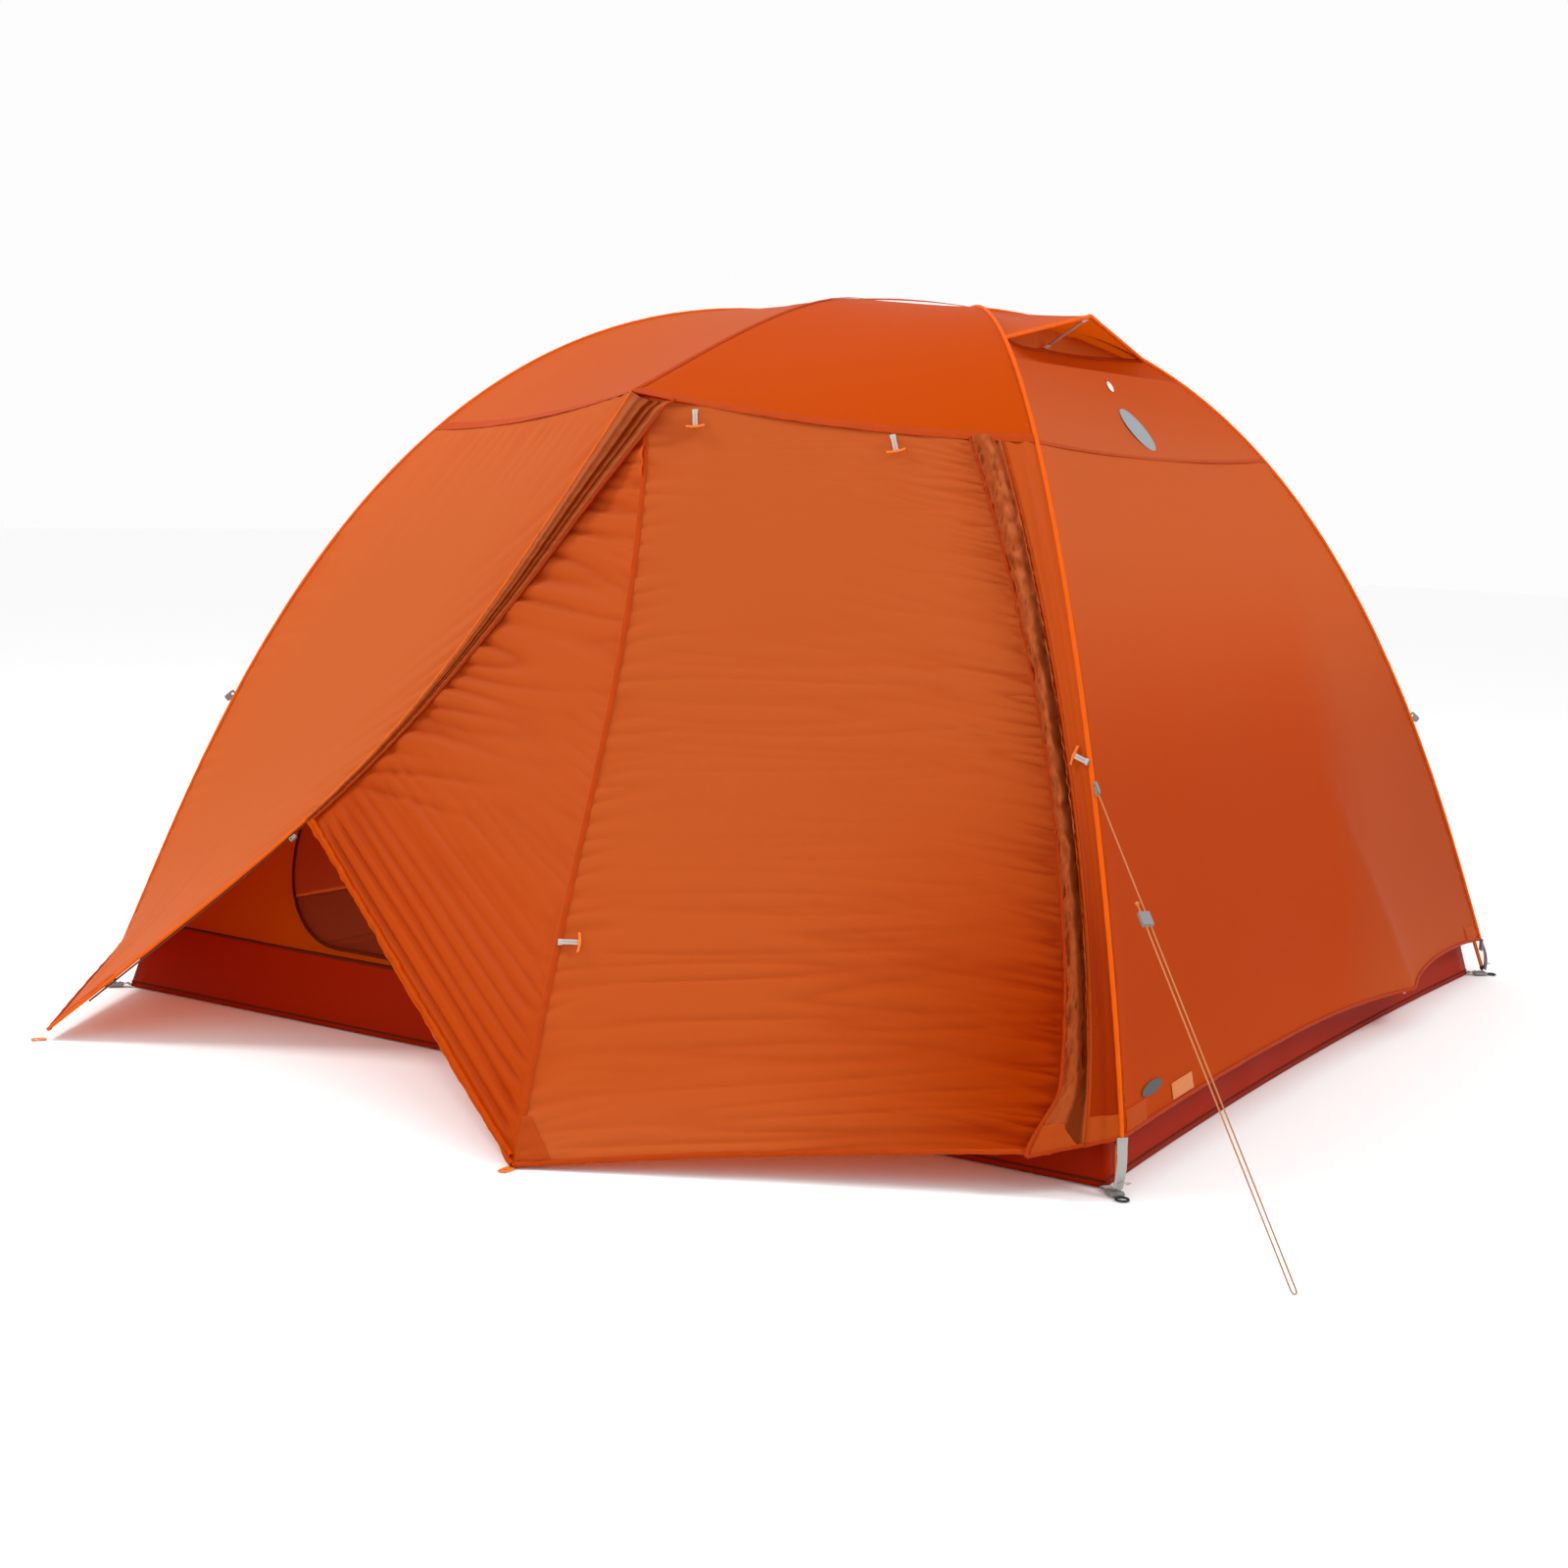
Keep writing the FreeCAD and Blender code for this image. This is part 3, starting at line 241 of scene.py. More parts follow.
def hard_finish(name, colour, roughness, metal=0.0, grain=400.0, depth=0.0002):
    material, shader, add = start_finish(name, roughness, metal)
    at = add("TexCoord").outputs["Object"]
    spots = add("TexNoise", {"Vector": at, "Scale": grain, "Detail": 3.0}).outputs[0]
    dark = tuple(0.8 * value for value in colour[:3]) + (1.0,)
    connect(material, mixed(add, spots, dark, colour), shader.inputs["Base Color"])
    rough = add("MapRange", {0: spots, 3: roughness - 0.08, 4: roughness + 0.1}).outputs[0]
    connect(material, rough, shader.inputs["Roughness"])
    connect(material, add("Bump", {"Height": spots, "Distance": depth}).outputs[0], shader.inputs["Normal"])
    return material


seam_tape = tape_finish("seam_tape", linear(160, 58, 12), linear(112, 36, 10))
sleeve_tape = tape_finish("sleeve_tape", linear(206, 84, 6), linear(150, 56, 10), (0.15, 0.85))
trim_tape = tape_finish("trim_tape", linear(150, 50, 12), linear(104, 34, 10))
zip_tape = tape_finish("zip_tape", linear(84, 34, 14), linear(50, 20, 10), (0.2, 0.8))
grey_web = webbing_finish("grey_webbing", linear(196, 192, 186))
orange_web = webbing_finish("orange_webbing", linear(236, 124, 20), 500.0)
elastic = webbing_finish("white_elastic", linear(214, 208, 200), 900.0)
guy_cord = webbing_finish("guy_cord", linear(240, 150, 70), 1500.0)
pole_metal = hard_finish("pole_metal", linear(206, 96, 40), 0.3, 0.9, 900.0, 0.00005)
bright_metal = hard_finish("bright_metal", linear(180, 180, 184), 0.28, 1.0, 700.0, 0.00005)
black_metal = hard_finish("black_metal", linear(38, 38, 40), 0.35, 0.7)
grey_plastic = hard_finish("grey_plastic", linear(128, 126, 124), 0.5)
orange_plastic = hard_finish("orange_plastic", linear(240, 120, 16), 0.4)
white_plastic = hard_finish("white_plastic", linear(222, 218, 210), 0.55)
print("finishes so far:", len(bpy.data.materials))

# %% [markdown]
# ## The seam lines
# A tent is drawn by its seams. Each is a cubic curve with four given points, the same ones that the CAD
# uses, so every cloth edge below falls on the imported solids. One right-hand front corner is enough: the other
# three are that corner turned about the middle.

# %% Seam curves
RIGHT, LEFT, FRONT, BACK = 1, -1, -1, 1
HEART = Vector((0, 0, 0.4))            # a point that every fly panel faces away from
INNER_HEART = Vector((0, 0, 0.6))
SEAM_SHARE, VENT_SHARE, SILL_SHARE, HEM_SHARE = 0.311, 0.16, 0.2, 0.913
HUB = Vector((0.275, 0, 1.596))
BROW_TIP = Vector((0, 0.925, 1.357))
CORNER = Vector((1.25, 1.183, 0))
PEG = Vector((0.334, 1.683, 0.004))
SIDE_FOOT = Vector((-0.96, 1.585, 0.02))
STRIP_FOOT = Vector((1.135, 1.230, 0.072))
VENT_TIP = Vector((0.570, 0, 1.576))
ZIP_END, DOOR_TOP = 0.64, 0.04


def bezier(controls, share):
    rest = 1 - share
    weights = (rest ** 3, 3 * rest ** 2 * share, 3 * rest * share ** 2, share ** 3)
    return sum((weight * control for weight, control in zip(weights, controls)), Vector())


def leg_controls(inset, drop, foot):
    """Leg line inside the seam by an inset, from a hub to a foot."""
    return (Vector((HUB.x, 0, HUB.z - drop)),
            Vector((0.711 * CORNER.x - 0.7 * inset, 0.743 * CORNER.y - 0.7 * inset, 0.996 * HUB.z - drop)),
            Vector((0.943 * CORNER.x - 0.9 * inset, 0.873 * CORNER.y - 0.9 * inset, 0.177 * HUB.z)), foot)


LEG = leg_controls(0, 0, CORNER)
INNER = leg_controls(0.062, 0.062, Vector((1.166, 1.109, 0.150)))
ROOF = (Vector((0, 0, 1.618)), Vector((0, 0.2775, 1.618)), Vector((0, 0.60125, 1.47967)), BROW_TIP)
SHOULDER = bezier(LEG, SEAM_SHARE)


def turned(point, end, side):
    return Vector((point.x * end, point.y * side, point.z))


def line_on(controls, end, side, first=0.0, last=1.0):
    """Seam as a function of a share, from 0 at its top to 1 at its foot."""
    return lambda share: turned(bezier(controls, first + (last - first) * share), end, side)


def straight(start, finish):
    return lambda share: start.lerp(finish, share)


TAUT_BROW = BROW_TIP.lerp(SHOULDER, 0.84)
LONG_ZIP = (BROW_TIP, BROW_TIP + Vector((-0.357, 0.281, -0.749)), SIDE_FOOT + Vector((0.506, -0.420, 0.544)),
            SIDE_FOOT)
SHORT_ZIP = (TAUT_BROW - Vector((0, 0, 0.0097)), TAUT_BROW + Vector((0.235, 0.151, -0.355)),
             STRIP_FOOT + Vector((-0.041, -0.231, 0.363)), STRIP_FOOT)
TAUT_TOP = BROW_TIP.lerp(SHOULDER, 0.03)
CENTRE = (TAUT_TOP, TAUT_TOP + Vector((0.170, 0.212, -0.477)), PEG + Vector((-0.111, -0.254, 0.454)), PEG)
for name, found, meant in (("hub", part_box("ridge_pole")[1].x + 0.008, HUB.x),
                           ("roof top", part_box("roof_front")[1].z, ROOF[0].z),
                           ("peg loop", -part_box("stake_loop_front")[1].y, PEG.y)):
    print(name, round(found, 4), "in CAD,", meant, "here")

# %% [markdown]
# ## From a flat grid to a cut panel
# A cloth panel is a flat grid whose points are carried to their places: each point knows how far across (0 to
# 1) and how far along (0 to 1) it is, and a panel's own rule turns these two shares into a place in space.
# create_grid makes the faces. The UV map keeps the cut sizes in metres, so weave and stitches keep scale.

# %% The panel helper
def flat_grid(mesh, columns, rows):
    """New grid, and how far across and along each of its points is."""
    mesh.loops.layers.uv.verify()
    points = bmesh.ops.create_grid(mesh, x_segments=columns, y_segments=rows, size=0.5)["verts"]
    return points, {point: (point.co.x + 0.5, point.co.y + 0.5) for point in points}


def lay_uv(mesh, share, uv_of):
    """Give each corner of the grid's faces the UV that belongs to its point."""
    uv = mesh.loops.layers.uv.verify()
    for face in {face for point in share for face in point.link_faces}:
        for loop in face.loops:
            loop[uv].uv = uv_of(*share[loop.vert])


def run_length(path, steps):
    return sum((path((n + 1) / steps) - path(n / steps)).length for n in range(steps))


def add_panel(mesh, columns, rows, place, look=lambda across, along: (0.1, 0.0, 0.3)):
    """Carry a new grid to its place. look gives each point its painted sheen, its painted shade, and how
    crinkled it is, which also paints shade into its creases.
    """
    mesh.loops.layers.uv.verify()
    layers = [mesh.verts.layers.float.get(name) or mesh.verts.layers.float.new(name)
              for name in ("painted_sheen", "shade", "pucker_and_crease_shade")]
    points, share = flat_grid(mesh, columns, rows)
    wide = (place(1, 0.5) - place(0, 0.5)).length
    tall = run_length(lambda along: place(0.5, along), 8)
    for point, (across, along) in share.items():
        point.co = place(across, along)
        for layer, value in zip(layers, look(across, along)):
            point[layer] = value
    lay_uv(mesh, share, lambda across, along: (across * wide, along * tall))
    return points


def face_out(mesh, heart):
    """Turn every face away from a point inside."""
    bmesh.ops.recalc_face_normals(mesh, faces=mesh.faces[:])
    lean = sum(face.normal.dot(face.calc_center_median() - heart) * face.calc_area() for face in mesh.faces)
    if lean < 0:
        bmesh.ops.reverse_faces(mesh, faces=mesh.faces[:])


def finish_piece(name, mesh, materials, body, stands_for=()):
    """Object from a bmesh: smooth, materials, body, and the CAD nodes that it stands for, which are hidden."""
    for face in mesh.faces:
        face.smooth = True
    data = bpy.data.meshes.new(name)
    mesh.to_mesh(data)
    mesh.free()
    piece = bpy.data.objects.new(name, data)
    bpy.context.scene.collection.objects.link(piece)
    for material in materials:
        data.materials.append(material)
    if body:
        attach(piece, body)
    if stands_for:
        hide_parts(*stands_for)
    print(name, "has", sum(len(face.vertices) - 2 for face in data.polygons), "triangles")
    return piece


def cut_piece(name, grids, material, body, stands_for=(), heart=HEART, welded=0.0):
    """Piece from panels; each grid is its columns, rows, place and look."""
    cut = bmesh.new()
    for grid in grids:
        add_panel(cut, *grid)
    if welded:
        bmesh.ops.remove_doubles(cut, verts=cut.verts[:], dist=welded)
    face_out(cut, heart)
    return finish_piece(name, cut, [material], body, stands_for)


def cloth_area(piece):
    return sum(face.area for face in piece.data.polygons)


def declare_sheet(piece, wide, tall):
    """Print the size that this cloth was cut to, with its area."""
    cut = cloth_area(piece) / 1.01
    print(piece.name, "cut from", wide, "x", tall, "m, area", round(cut, 3))

# %% [markdown]
# ## Tension and puckers
# Cloth that is pulled between seams sinks a little between them, and it gathers where a zip or a hem is sewn
# to it. Both are small moves of the panel's points. A ridged noise, stretched so that it is long across the
# seam and short along it, gives the sharp irregular gathers, and they fade away from the seam.

# %% Helpers for the cloth's relief
def hump(share):
    return 4 * share * (1 - share)


def ramp(value, low, high):
    """Smooth step from 0 at low to 1 at high."""
    share = min(1.0, max(0.0, (value - low) / (high - low)))
    return share * share * (3 - 2 * share)


def gathers(along, away, spacing, reach, seed):
    """Narrow grooves, about -0.5 deep, that run away from a sewn edge; along and away are in metres."""
    tilt = along + 0.2 * away
    patch = 0.5 + noise.noise(Vector((along / (6 * spacing), seed, 3.1)))
    groove = min(0.35, 2.6 * abs(noise.noise(Vector((tilt / spacing, away / (9 * spacing), seed)))) - 0.5)
    return groove * math.exp(-away / (reach * (0.45 + 1.4 * max(0.0, patch))))


def billow(point, size, seed):
    """Broad soft unevenness of a big panel, from -1 to 1."""
    return noise.noise(Vector((point.x / size, point.y / size, point.z / size + seed)))


def outward(place, across, along, heart=HEART):
    """Direction out of a panel at a point, from its neighbours."""
    step = 0.01
    a0, a1 = max(0, across - step), min(1, across + step)
    b0, b1 = max(0, along - step), min(1, along + step)
    normal = (place(a1, along) - place(a0, along)).cross(place(across, b1) - place(across, b0))
    if normal.length < 1e-9:
        return Vector((0, 0, 1))
    normal.normalize()
    return -normal if normal.dot(place(across, along) - heart) < 0 else normal

# %% [markdown]
# ## The guyline first
# The one guyline runs straight from the lock on the leg to its peg, round the peg and back through the
# tensioner. It is a NURBS curve with the route's own listed points, bevelled to a round cord.

# %% Guyline
guy_out = turned(bezier(LEG, 0.6), RIGHT, FRONT)
guy_peg = Vector((1.652, -1.458, 0.006))
guy_run = (guy_peg - guy_out).normalized()
strand_side = guy_run.cross(Vector((0, 0, 1))).normalized()
guy_length = (guy_peg - guy_out).length
back_strand = strand_side * 0.009
route = [guy_out + guy_run * 0.038, guy_out + guy_run * (guy_length - 0.016), guy_out + guy_run * guy_length,
         guy_out + guy_run * guy_length + back_strand,
         guy_out + guy_run * (guy_length - 0.016) + back_strand, guy_out + guy_run * 0.285 + back_strand]


def cord_curve(name, points, diameter, material):
    """Round cord on a NURBS spline through the given points."""
    data = bpy.data.curves.new(name, "CURVE")
    data.dimensions = "3D"
    data.bevel_depth, data.bevel_resolution, data.resolution_u = diameter / 2, 3, 12
    data.use_fill_caps = True
    spline = data.splines.new("NURBS")
    spline.points.add(len(points) - 1)
    for knot, point in zip(spline.points, points):
        knot.co = (*point, 1)
    spline.order_u = 3
    spline.use_endpoint_u = True
    data.materials.append(material)
    cord = bpy.data.objects.new(name, data)
    bpy.context.scene.collection.objects.link(cord)
    return cord


guyline = cord_curve("guyline_cord", route, 0.0026, guy_cord)
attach(guyline, "tent")
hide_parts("guyline")
knot = bmesh.new()
bmesh.ops.create_uvsphere(knot, u_segments=16, v_segments=10, radius=0.0034)
for point in knot.verts:
    point.co *= 1 + 0.25 * noise.noise(point.co * 500)
    point.co = point.co + route[-1]
guy_knot = finish_piece("guyline_knot", knot, [guy_cord], "tent")
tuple(route[0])
print("guyline reaches", [round(value, 3) for value in guy_peg])

# %% [markdown]
# ## The fly's fixed sheet
# Roof, end walls, side panels and the strips beside the zips are sewn into one sheet. Each panel is a grid
# between two seams, and neighbours use the same rows, so welding their edges gives one continuous sheet.
# The roof is drawn tight; the end walls sink between the legs; the side panels fall from the long zip.

# %% Rules for the fly's panels
ROOF_ROWS, WALL_ROWS, WALL_COLUMNS = 84, 150, 84


def roof_panel(end, side):
    crest, leg = line_on(ROOF, 1, side), line_on(LEG, end, side, 0, SEAM_SHARE)

    def place(across, along):
        point = crest(along).lerp(leg(along), across)
        point.z -= 0.072 * across * (1 - across) * along ** 3
        sink = 0.012 * hump(across) * hump(along) + 0.002 * billow(point, 0.35, end) * hump(across)
        pull = 0.0022 * gathers(across * 0.8, (1 - along) * 0.95, 0.03, 0.06, 5.0 + end) * hump(across)
        point.z -= sink + pull * ramp(1 - along, 0, 0.02)
        return point
    return place


def upper_wall(end):
    first = SILL_SHARE if end == RIGHT else 0.0
    near, far = line_on(LEG, end, FRONT, first, SEAM_SHARE), line_on(LEG, end, BACK, first, SEAM_SHARE)

    def place(across, along):
        point = near(along).lerp(far(along), across)
        sink = 0.014 * hump(across) * hump(along)
        point.x -= end * sink
        point.z -= sink + 0.016 * hump(across) * along ** 2
        return point
    return place


def lower_wall(end):
    near = line_on(LEG, end, FRONT, SEAM_SHARE, HEM_SHARE)
    far = line_on(LEG, end, BACK, SEAM_SHARE, HEM_SHARE)
    hook = 0.703

    def place(across, along):
        point = near(along).lerp(far(along), across)
        point.z -= 0.016 * hump(across) * (1 - along) ** 3
        sink = 0.028 * hump(across) ** 0.8 * hump(along) ** 0.8
        out = 0.004 * billow(point, 0.5, 2.0) * hump(across)
        fold = abs(across - hook + 0.10 * (1 - along)) * 2.2
        out += 0.05 * math.exp(-fold / 0.16) * ramp(along, 0.45, 1.0) * hump(across)
        out -= 0.012 * ramp(along, 0.75, 1.0) * hump(across)
        edge = min(across, 1 - across) * 2.2
        out += 0.004 * gathers(along * 1.3, edge, 0.05, 0.10, 7.0) * ramp(edge, 0, 0.03)
        point.x -= end * (sink - out)
        hang = hump(min(1, across / hook)) if across < hook else hump((across - hook) / (1 - hook))
        point.z += 0.022 * hang * ramp(along, 0.7, 1.0) - 0.010 * ramp(along, 0.9, 1) * hump(across)
        return point
    return place


def side_relief(across, along):
    to_leg, to_zip, down = across * 1.25, (1 - across) * 1.25, along * 1.5
    out = 0.0095 * gathers(down - 0.9 * to_zip, to_zip, 0.065, 0.13, 1.0) * ramp(to_zip, 0, 0.03)
    out += 0.0080 * gathers(across * 0.95 - 0.3 * along, down, 0.050, 0.12, 2.0) \
        * ramp(down, 0, 0.03) * hump(across)
    out += 0.0060 * gathers(down, to_leg, 0.055, 0.08, 3.0) * ramp(to_leg, 0, 0.03)
    return out + 0.0050 * gathers(across, (1 - along) * 1.4, 0.05, 0.12, 6.0) * ramp(1 - along, 0, 0.03)


def side_panel(side):
    leg, zip_line = line_on(LEG, LEFT, side, SEAM_SHARE, HEM_SHARE), line_on(LONG_ZIP, 1, side)

    def plain(across, along):
        point = leg(along).lerp(zip_line(along), across)
        point.z -= 0.072 * across * (1 - across) * (1 - along) ** 3
        return point

    def place(across, along):
        point = plain(across, along)
        out = side_relief(across, along) - 0.020 * hump(across) * hump(along)
        out += 0.004 * billow(point, 0.3, 4.0) * hump(across)
        return point + outward(plain, across, along) * out * (1 if 0 < across < 1 else 0)
    return place


def flap_line(side):
    """Where the short zip's flap meets the plain strip beside the leg."""
    zip_line, leg = line_on(SHORT_ZIP, 1, side), line_on(LEG, RIGHT, side, SEAM_SHARE, HEM_SHARE)
    return lambda share: zip_line(share).lerp(leg(share), 0.45)


def strip_panel(side):
    edge, leg = flap_line(side), line_on(LEG, RIGHT, side, SEAM_SHARE, HEM_SHARE)

    def place(across, along):
        point = edge(along).lerp(leg(along), across)
        fold = 0.0035 * math.sin(across * 11 + 1.5 * noise.noise(Vector((0, 0, along * 5))))
        point.y += side * fold * hump(across)
        return point
    return place

# %% [markdown]
# The vent at the right-hand end is a hood over an opening. Below it the wall's edge dips from each leg to the
# foot of the prop, so the wall starts with a hollow sill.

# %% The vent's sill, then the whole sheet
vent_end = bezier(LEG, VENT_SHARE)
PROP_FOOT = Vector((vent_end.x - 0.082, 0, vent_end.z - 0.001))


def sill_edge(across):
    """Top edge of the wall under the vent, from the front leg (0) to the back leg (1)."""
    side = -1 if across < 0.5 else 1
    share = abs(2 * across - 1)
    start = turned(vent_end, RIGHT, side)
    return PROP_FOOT.lerp(start, share ** 1.15) - Vector((0.012 * hump(share), 0, 0.006 * hump(share)))


def sill_panel(across, along):
    low = upper_wall(RIGHT)(across, 0)
    point = sill_edge(across).lerp(low, along)
    dip = 0.010 * hump(along) * hump(across)
    return point - Vector((dip, 0, dip))


# %% [markdown]
# How the panels are painted follows where they are: the side panels and the tops of the end walls carry a
# painted sheen, the roof to the right of the cross pole is clear orange, and the low middle of a wall has
# painted shade, where the floor's side stands behind it.

# %% Weld the panels into one sheet
def roof_look(end):
    # Painted sheen and a little painted shade on the roof's left-hand quarters; the right-hand ones stay clear.
    return lambda a, b: (0.02, 0.0, 0.1) if end == RIGHT else (0.45 + 0.25 * a, 0.15, 0.3)


def side_look(a, b):
    # Painted shade in the grooves of the gathers, with less painted sheen there; the painted sheen grows
    # towards the foot.
    groove = min(0.6, max(0.0, -side_relief(a, b)) * 70)
    return ((0.85 + 0.15 * b) * (1 - groove), 0.5 * groove, 0.25 + 0.75 * ramp(a, 0.6, 1))


def wall_look(a, b):
    # Painted sheen at the top of the wall and on its far side, and painted shade over its lower part, strongest
    # on the far side.
    top = 1 - ramp(b, 0.10, 0.52)
    far = ramp(a - 0.25 * (1 - b), 0.50, 0.68)
    dark = ramp(b, 0.15, 0.6) * (1 - 0.25 * ramp(b, 0.8, 1.0))
    return (0.62 * top + 0.45 * far * (1 - top), dark * (0.4 + 0.5 * far),
            0.15 + 0.5 * ramp(a, 0.75, 1) * ramp(b, 0.2, 0.6))


sheet = bmesh.new()
for side in (FRONT, BACK):
    for end in (RIGHT, LEFT):
        add_panel(sheet, 40, ROOF_ROWS, roof_panel(end, side), roof_look(end))
    add_panel(sheet, 100, WALL_ROWS, side_panel(side), side_look)
    # The strips: painted sheen at the top, painted shade towards the foot.
    add_panel(sheet, 10, WALL_ROWS, strip_panel(side), lambda a, b: (0.5 - 0.5 * b, ramp(b, 0.3, 0.8), 0.4))
for end in (RIGHT, LEFT):
    # The upper end walls: painted sheen, growing downwards on the right end, and a little painted shade.
    high = (lambda a, b: (0.15 + 0.5 * b, 0.1, 0.1)) if end == RIGHT else (lambda a, b: (0.6, 0.1, 0.1))
    add_panel(sheet, WALL_COLUMNS, ROOF_ROWS, upper_wall(end), high)
    add_panel(sheet, WALL_COLUMNS, WALL_ROWS, lower_wall(end), wall_look)
# The sill under the vent: painted shade.
add_panel(sheet, WALL_COLUMNS, 10, sill_panel, lambda a, b: (0.1, 0.3, 0.1))
bmesh.ops.remove_doubles(sheet, verts=sheet.verts[:], dist=0.0006)
face_out(sheet, HEART)
fly = finish_piece("fly_sheet", sheet, [fly_cloth], "tent",
                   ["roof_front", "roof_back", "end_wall_right", "end_wall_left", "vestibule_side_front",
                    "vestibule_side_back", "vestibule_strip_front", "vestibule_strip_back", "vent_sill"])
declare_sheet(fly, 5.4, 5.0)

# %% [markdown]
# ## The awnings and doors
# The awning hangs from the brow line. The door is the piece between the long zip and the centre seam; its open
# lower edge is rolled in.
# Gathers run in from the zips, and long soft creases cross the middle.

# %% Awning and door rules
def flap_edge(side, first=0.0):
    def edge(share):
        along = ZIP_END * (first + (1 - first) * share)
        width = 0.09 * (0.15 + 0.85 * (1 - along) ** 4)
        return turned(bezier(LONG_ZIP, along) + Vector((width, -0.35 * width, -0.18 * width)), RIGHT, side)
    return edge


def awning_panel(side):
    """Place and relief of the awning."""
    left, right = line_on(CENTRE, 1, side), line_on(SHORT_ZIP, 1, side)

    def plain(across, along):
        point = left(along).lerp(right(along), across)
        point.z -= 0.05 * across * (1 - across) * (1 - along) ** 4
        return point

    def relief(across, along):
        wide = 0.74 + 0.12 * along
        to_left, to_right, down = across * wide, (1 - across) * wide, along * 1.45
        out = 0.0085 * gathers(down, to_right, 0.020, 0.060, 1.0) * ramp(to_right, 0, 0.012)
        out += 0.0040 * gathers(down, to_right, 0.038, 0.16, 5.0) * ramp(to_right, 0, 0.012)
        out += 0.0060 * gathers(down, to_left, 0.034, 0.055, 2.0) * ramp(to_left, 0, 0.015)
        out += 0.0050 * gathers(down + 0.1 * across, 0.02 + 0.1 * hump(across), 0.020, 0.10, 3.0) \
            * math.exp(-down / 0.07) * ramp(down, 0, 0.012) * hump(across)
        low = math.exp(-((along - 0.80) / 0.15) ** 2) + 0.5 * math.exp(-((along - 0.42) / 0.10) ** 2)
        low += 0.8 * math.exp(-((along - 0.985) / 0.03) ** 2)
        ripple = abs(noise.noise(Vector((across * 1.7, down / 0.034 + across, 4.0)))) * 2.6 - 0.5
        return out + 0.0050 * low * min(0.3, ripple) * hump(across) ** 0.7

    def place(across, along):
        point = plain(across, along)
        out = relief(across, along) - 0.016 * hump(across) * hump(along)
        out += 0.004 * billow(point, 0.25, 8.0) * hump(across) - 0.010 * ramp(along, 0.93, 1.0) * hump(across)
        out -= 0.010 * (1 - ramp(across, 0.06, 0.2)) * (1 - ramp(along, 0.06, 0.16))
        point.z += 0.012 * hump(across) * ramp(along, 0.9, 1.0)
        return point + outward(plain, across, along) * out
    return place, relief


def door_panel(side):
    """Place and relief of the door."""
    left, right = flap_edge(side, DOOR_TOP), line_on(CENTRE, 1, side, DOOR_TOP, 1.0)
    zip_line = line_on(LONG_ZIP, 1, side, ZIP_END * DOOR_TOP, ZIP_END)

    def plain(across, along):
        start = zip_line(along).lerp(left(along), 0.55) + Vector((0, 0, -0.002))
        return start.lerp(right(along), across)

    def relief(across, along):
        wide = (left(along) - right(along)).length
        drop = 1.357 - plain(across, along).z
        to_left, to_right, to_edge = across * wide, (1 - across) * wide, (1 - along) * 1.05
        out = 0.0130 * gathers(drop - 0.25 * to_left, to_left, 0.046, 0.17, 1.0) * ramp(to_left, 0, 0.02) \
            * (1 - ramp(along, 0.75, 0.95))
        out += 0.0050 * gathers(drop, to_right, 0.026, 0.06, 2.0) * ramp(to_right, 0, 0.012)
        pleat = abs(noise.noise(Vector((to_edge / 0.030, across * 1.1, 9.0)))) * 2.6 - 0.5
        out += 0.0150 * min(0.4, pleat) * math.exp(-to_edge / 0.17) * ramp(across, 0.0, 0.12) \
            * ramp(1 - across, 0, 0.06)
        return out

    def place(across, along):
        point = plain(across, along)
        out = relief(across, along) - 0.018 * hump(across) * hump(along)
        out += 0.003 * billow(point, 0.2, 11.0) * hump(across)
        return point + outward(plain, across, along) * out
    return place, relief


def shaded_by(relief, look, strength=85.0):
    """The same look, with painted shade in every groove and less painted sheen there."""
    def deepened(across, along):
        painted_sheen, shade, pucker_and_crease_shade = look(across, along)
        groove = max(0.0, -relief(across, along)) * strength
        return (painted_sheen * (1 - min(0.6, groove)), shade + groove, pucker_and_crease_shade)
    return deepened


# Painted sheen high on the awning and along its lower left edge; painted shade growing downwards and in its
# lower right corner.
def awning_look(a, b):
    corner = ramp(a, 0.35, 1.0) * ramp(b, 0.35, 0.85)
    return (0.80 - 0.25 * b - 0.6 * corner + 0.35 * ramp(b, 0.88, 1) * (1 - a), 0.12 * b + 0.5 * corner,
            0.15 + 0.85 * ramp(a, 0.80, 1) * ramp(b, 0.02, 0.1) + 0.5 * ramp(b, 0.6, 0.9))


# Painted sheen fading towards the door's foot, and painted shade growing downwards.
def door_look(a, b):
    return (0.45 - 0.35 * ramp(b, 0.5, 1), 0.1 + 0.2 * b,
            0.25 + 0.75 * ramp(0.35 - a, 0, 0.35) + 0.5 * ramp(b, 0.7, 1))


for side, word in ((FRONT, "front"), (BACK, "back")):
    place, relief = awning_panel(side)
    awning = cut_piece(f"awning_{word}_cloth", [(110, 400, place, shaded_by(relief, awning_look))], fly_cloth,
                       None, [f"awning_{word}"])
    lower = place(0.4, 0.06)
    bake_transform(awning)
    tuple(lower)
    declare_sheet(awning, 0.95, 1.55)
    place, relief = door_panel(side)
    door = cut_piece(f"door_{word}_cloth", [(120, 260, place, shaded_by(relief, door_look))], fly_cloth,
                     None, [f"door_{word}"])
    sewn, free = place(0.97, 0.5), place(0.70, 0.5)
    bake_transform(door)
    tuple(sewn)
    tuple(free)
    declare_sheet(door, 0.75, 1.25)

# %% [markdown]
# ## Storm flaps
# Each zip hides under a flap. The long flap is a doubled band, wide at the brow and narrow below, with sewn
# lines along its free edge. The short flap is drawn up by its stitching, so it is crinkled all over, and its
# lower end flares out into a three-cornered patch. Ridged noise at two scales makes silky crinkles.

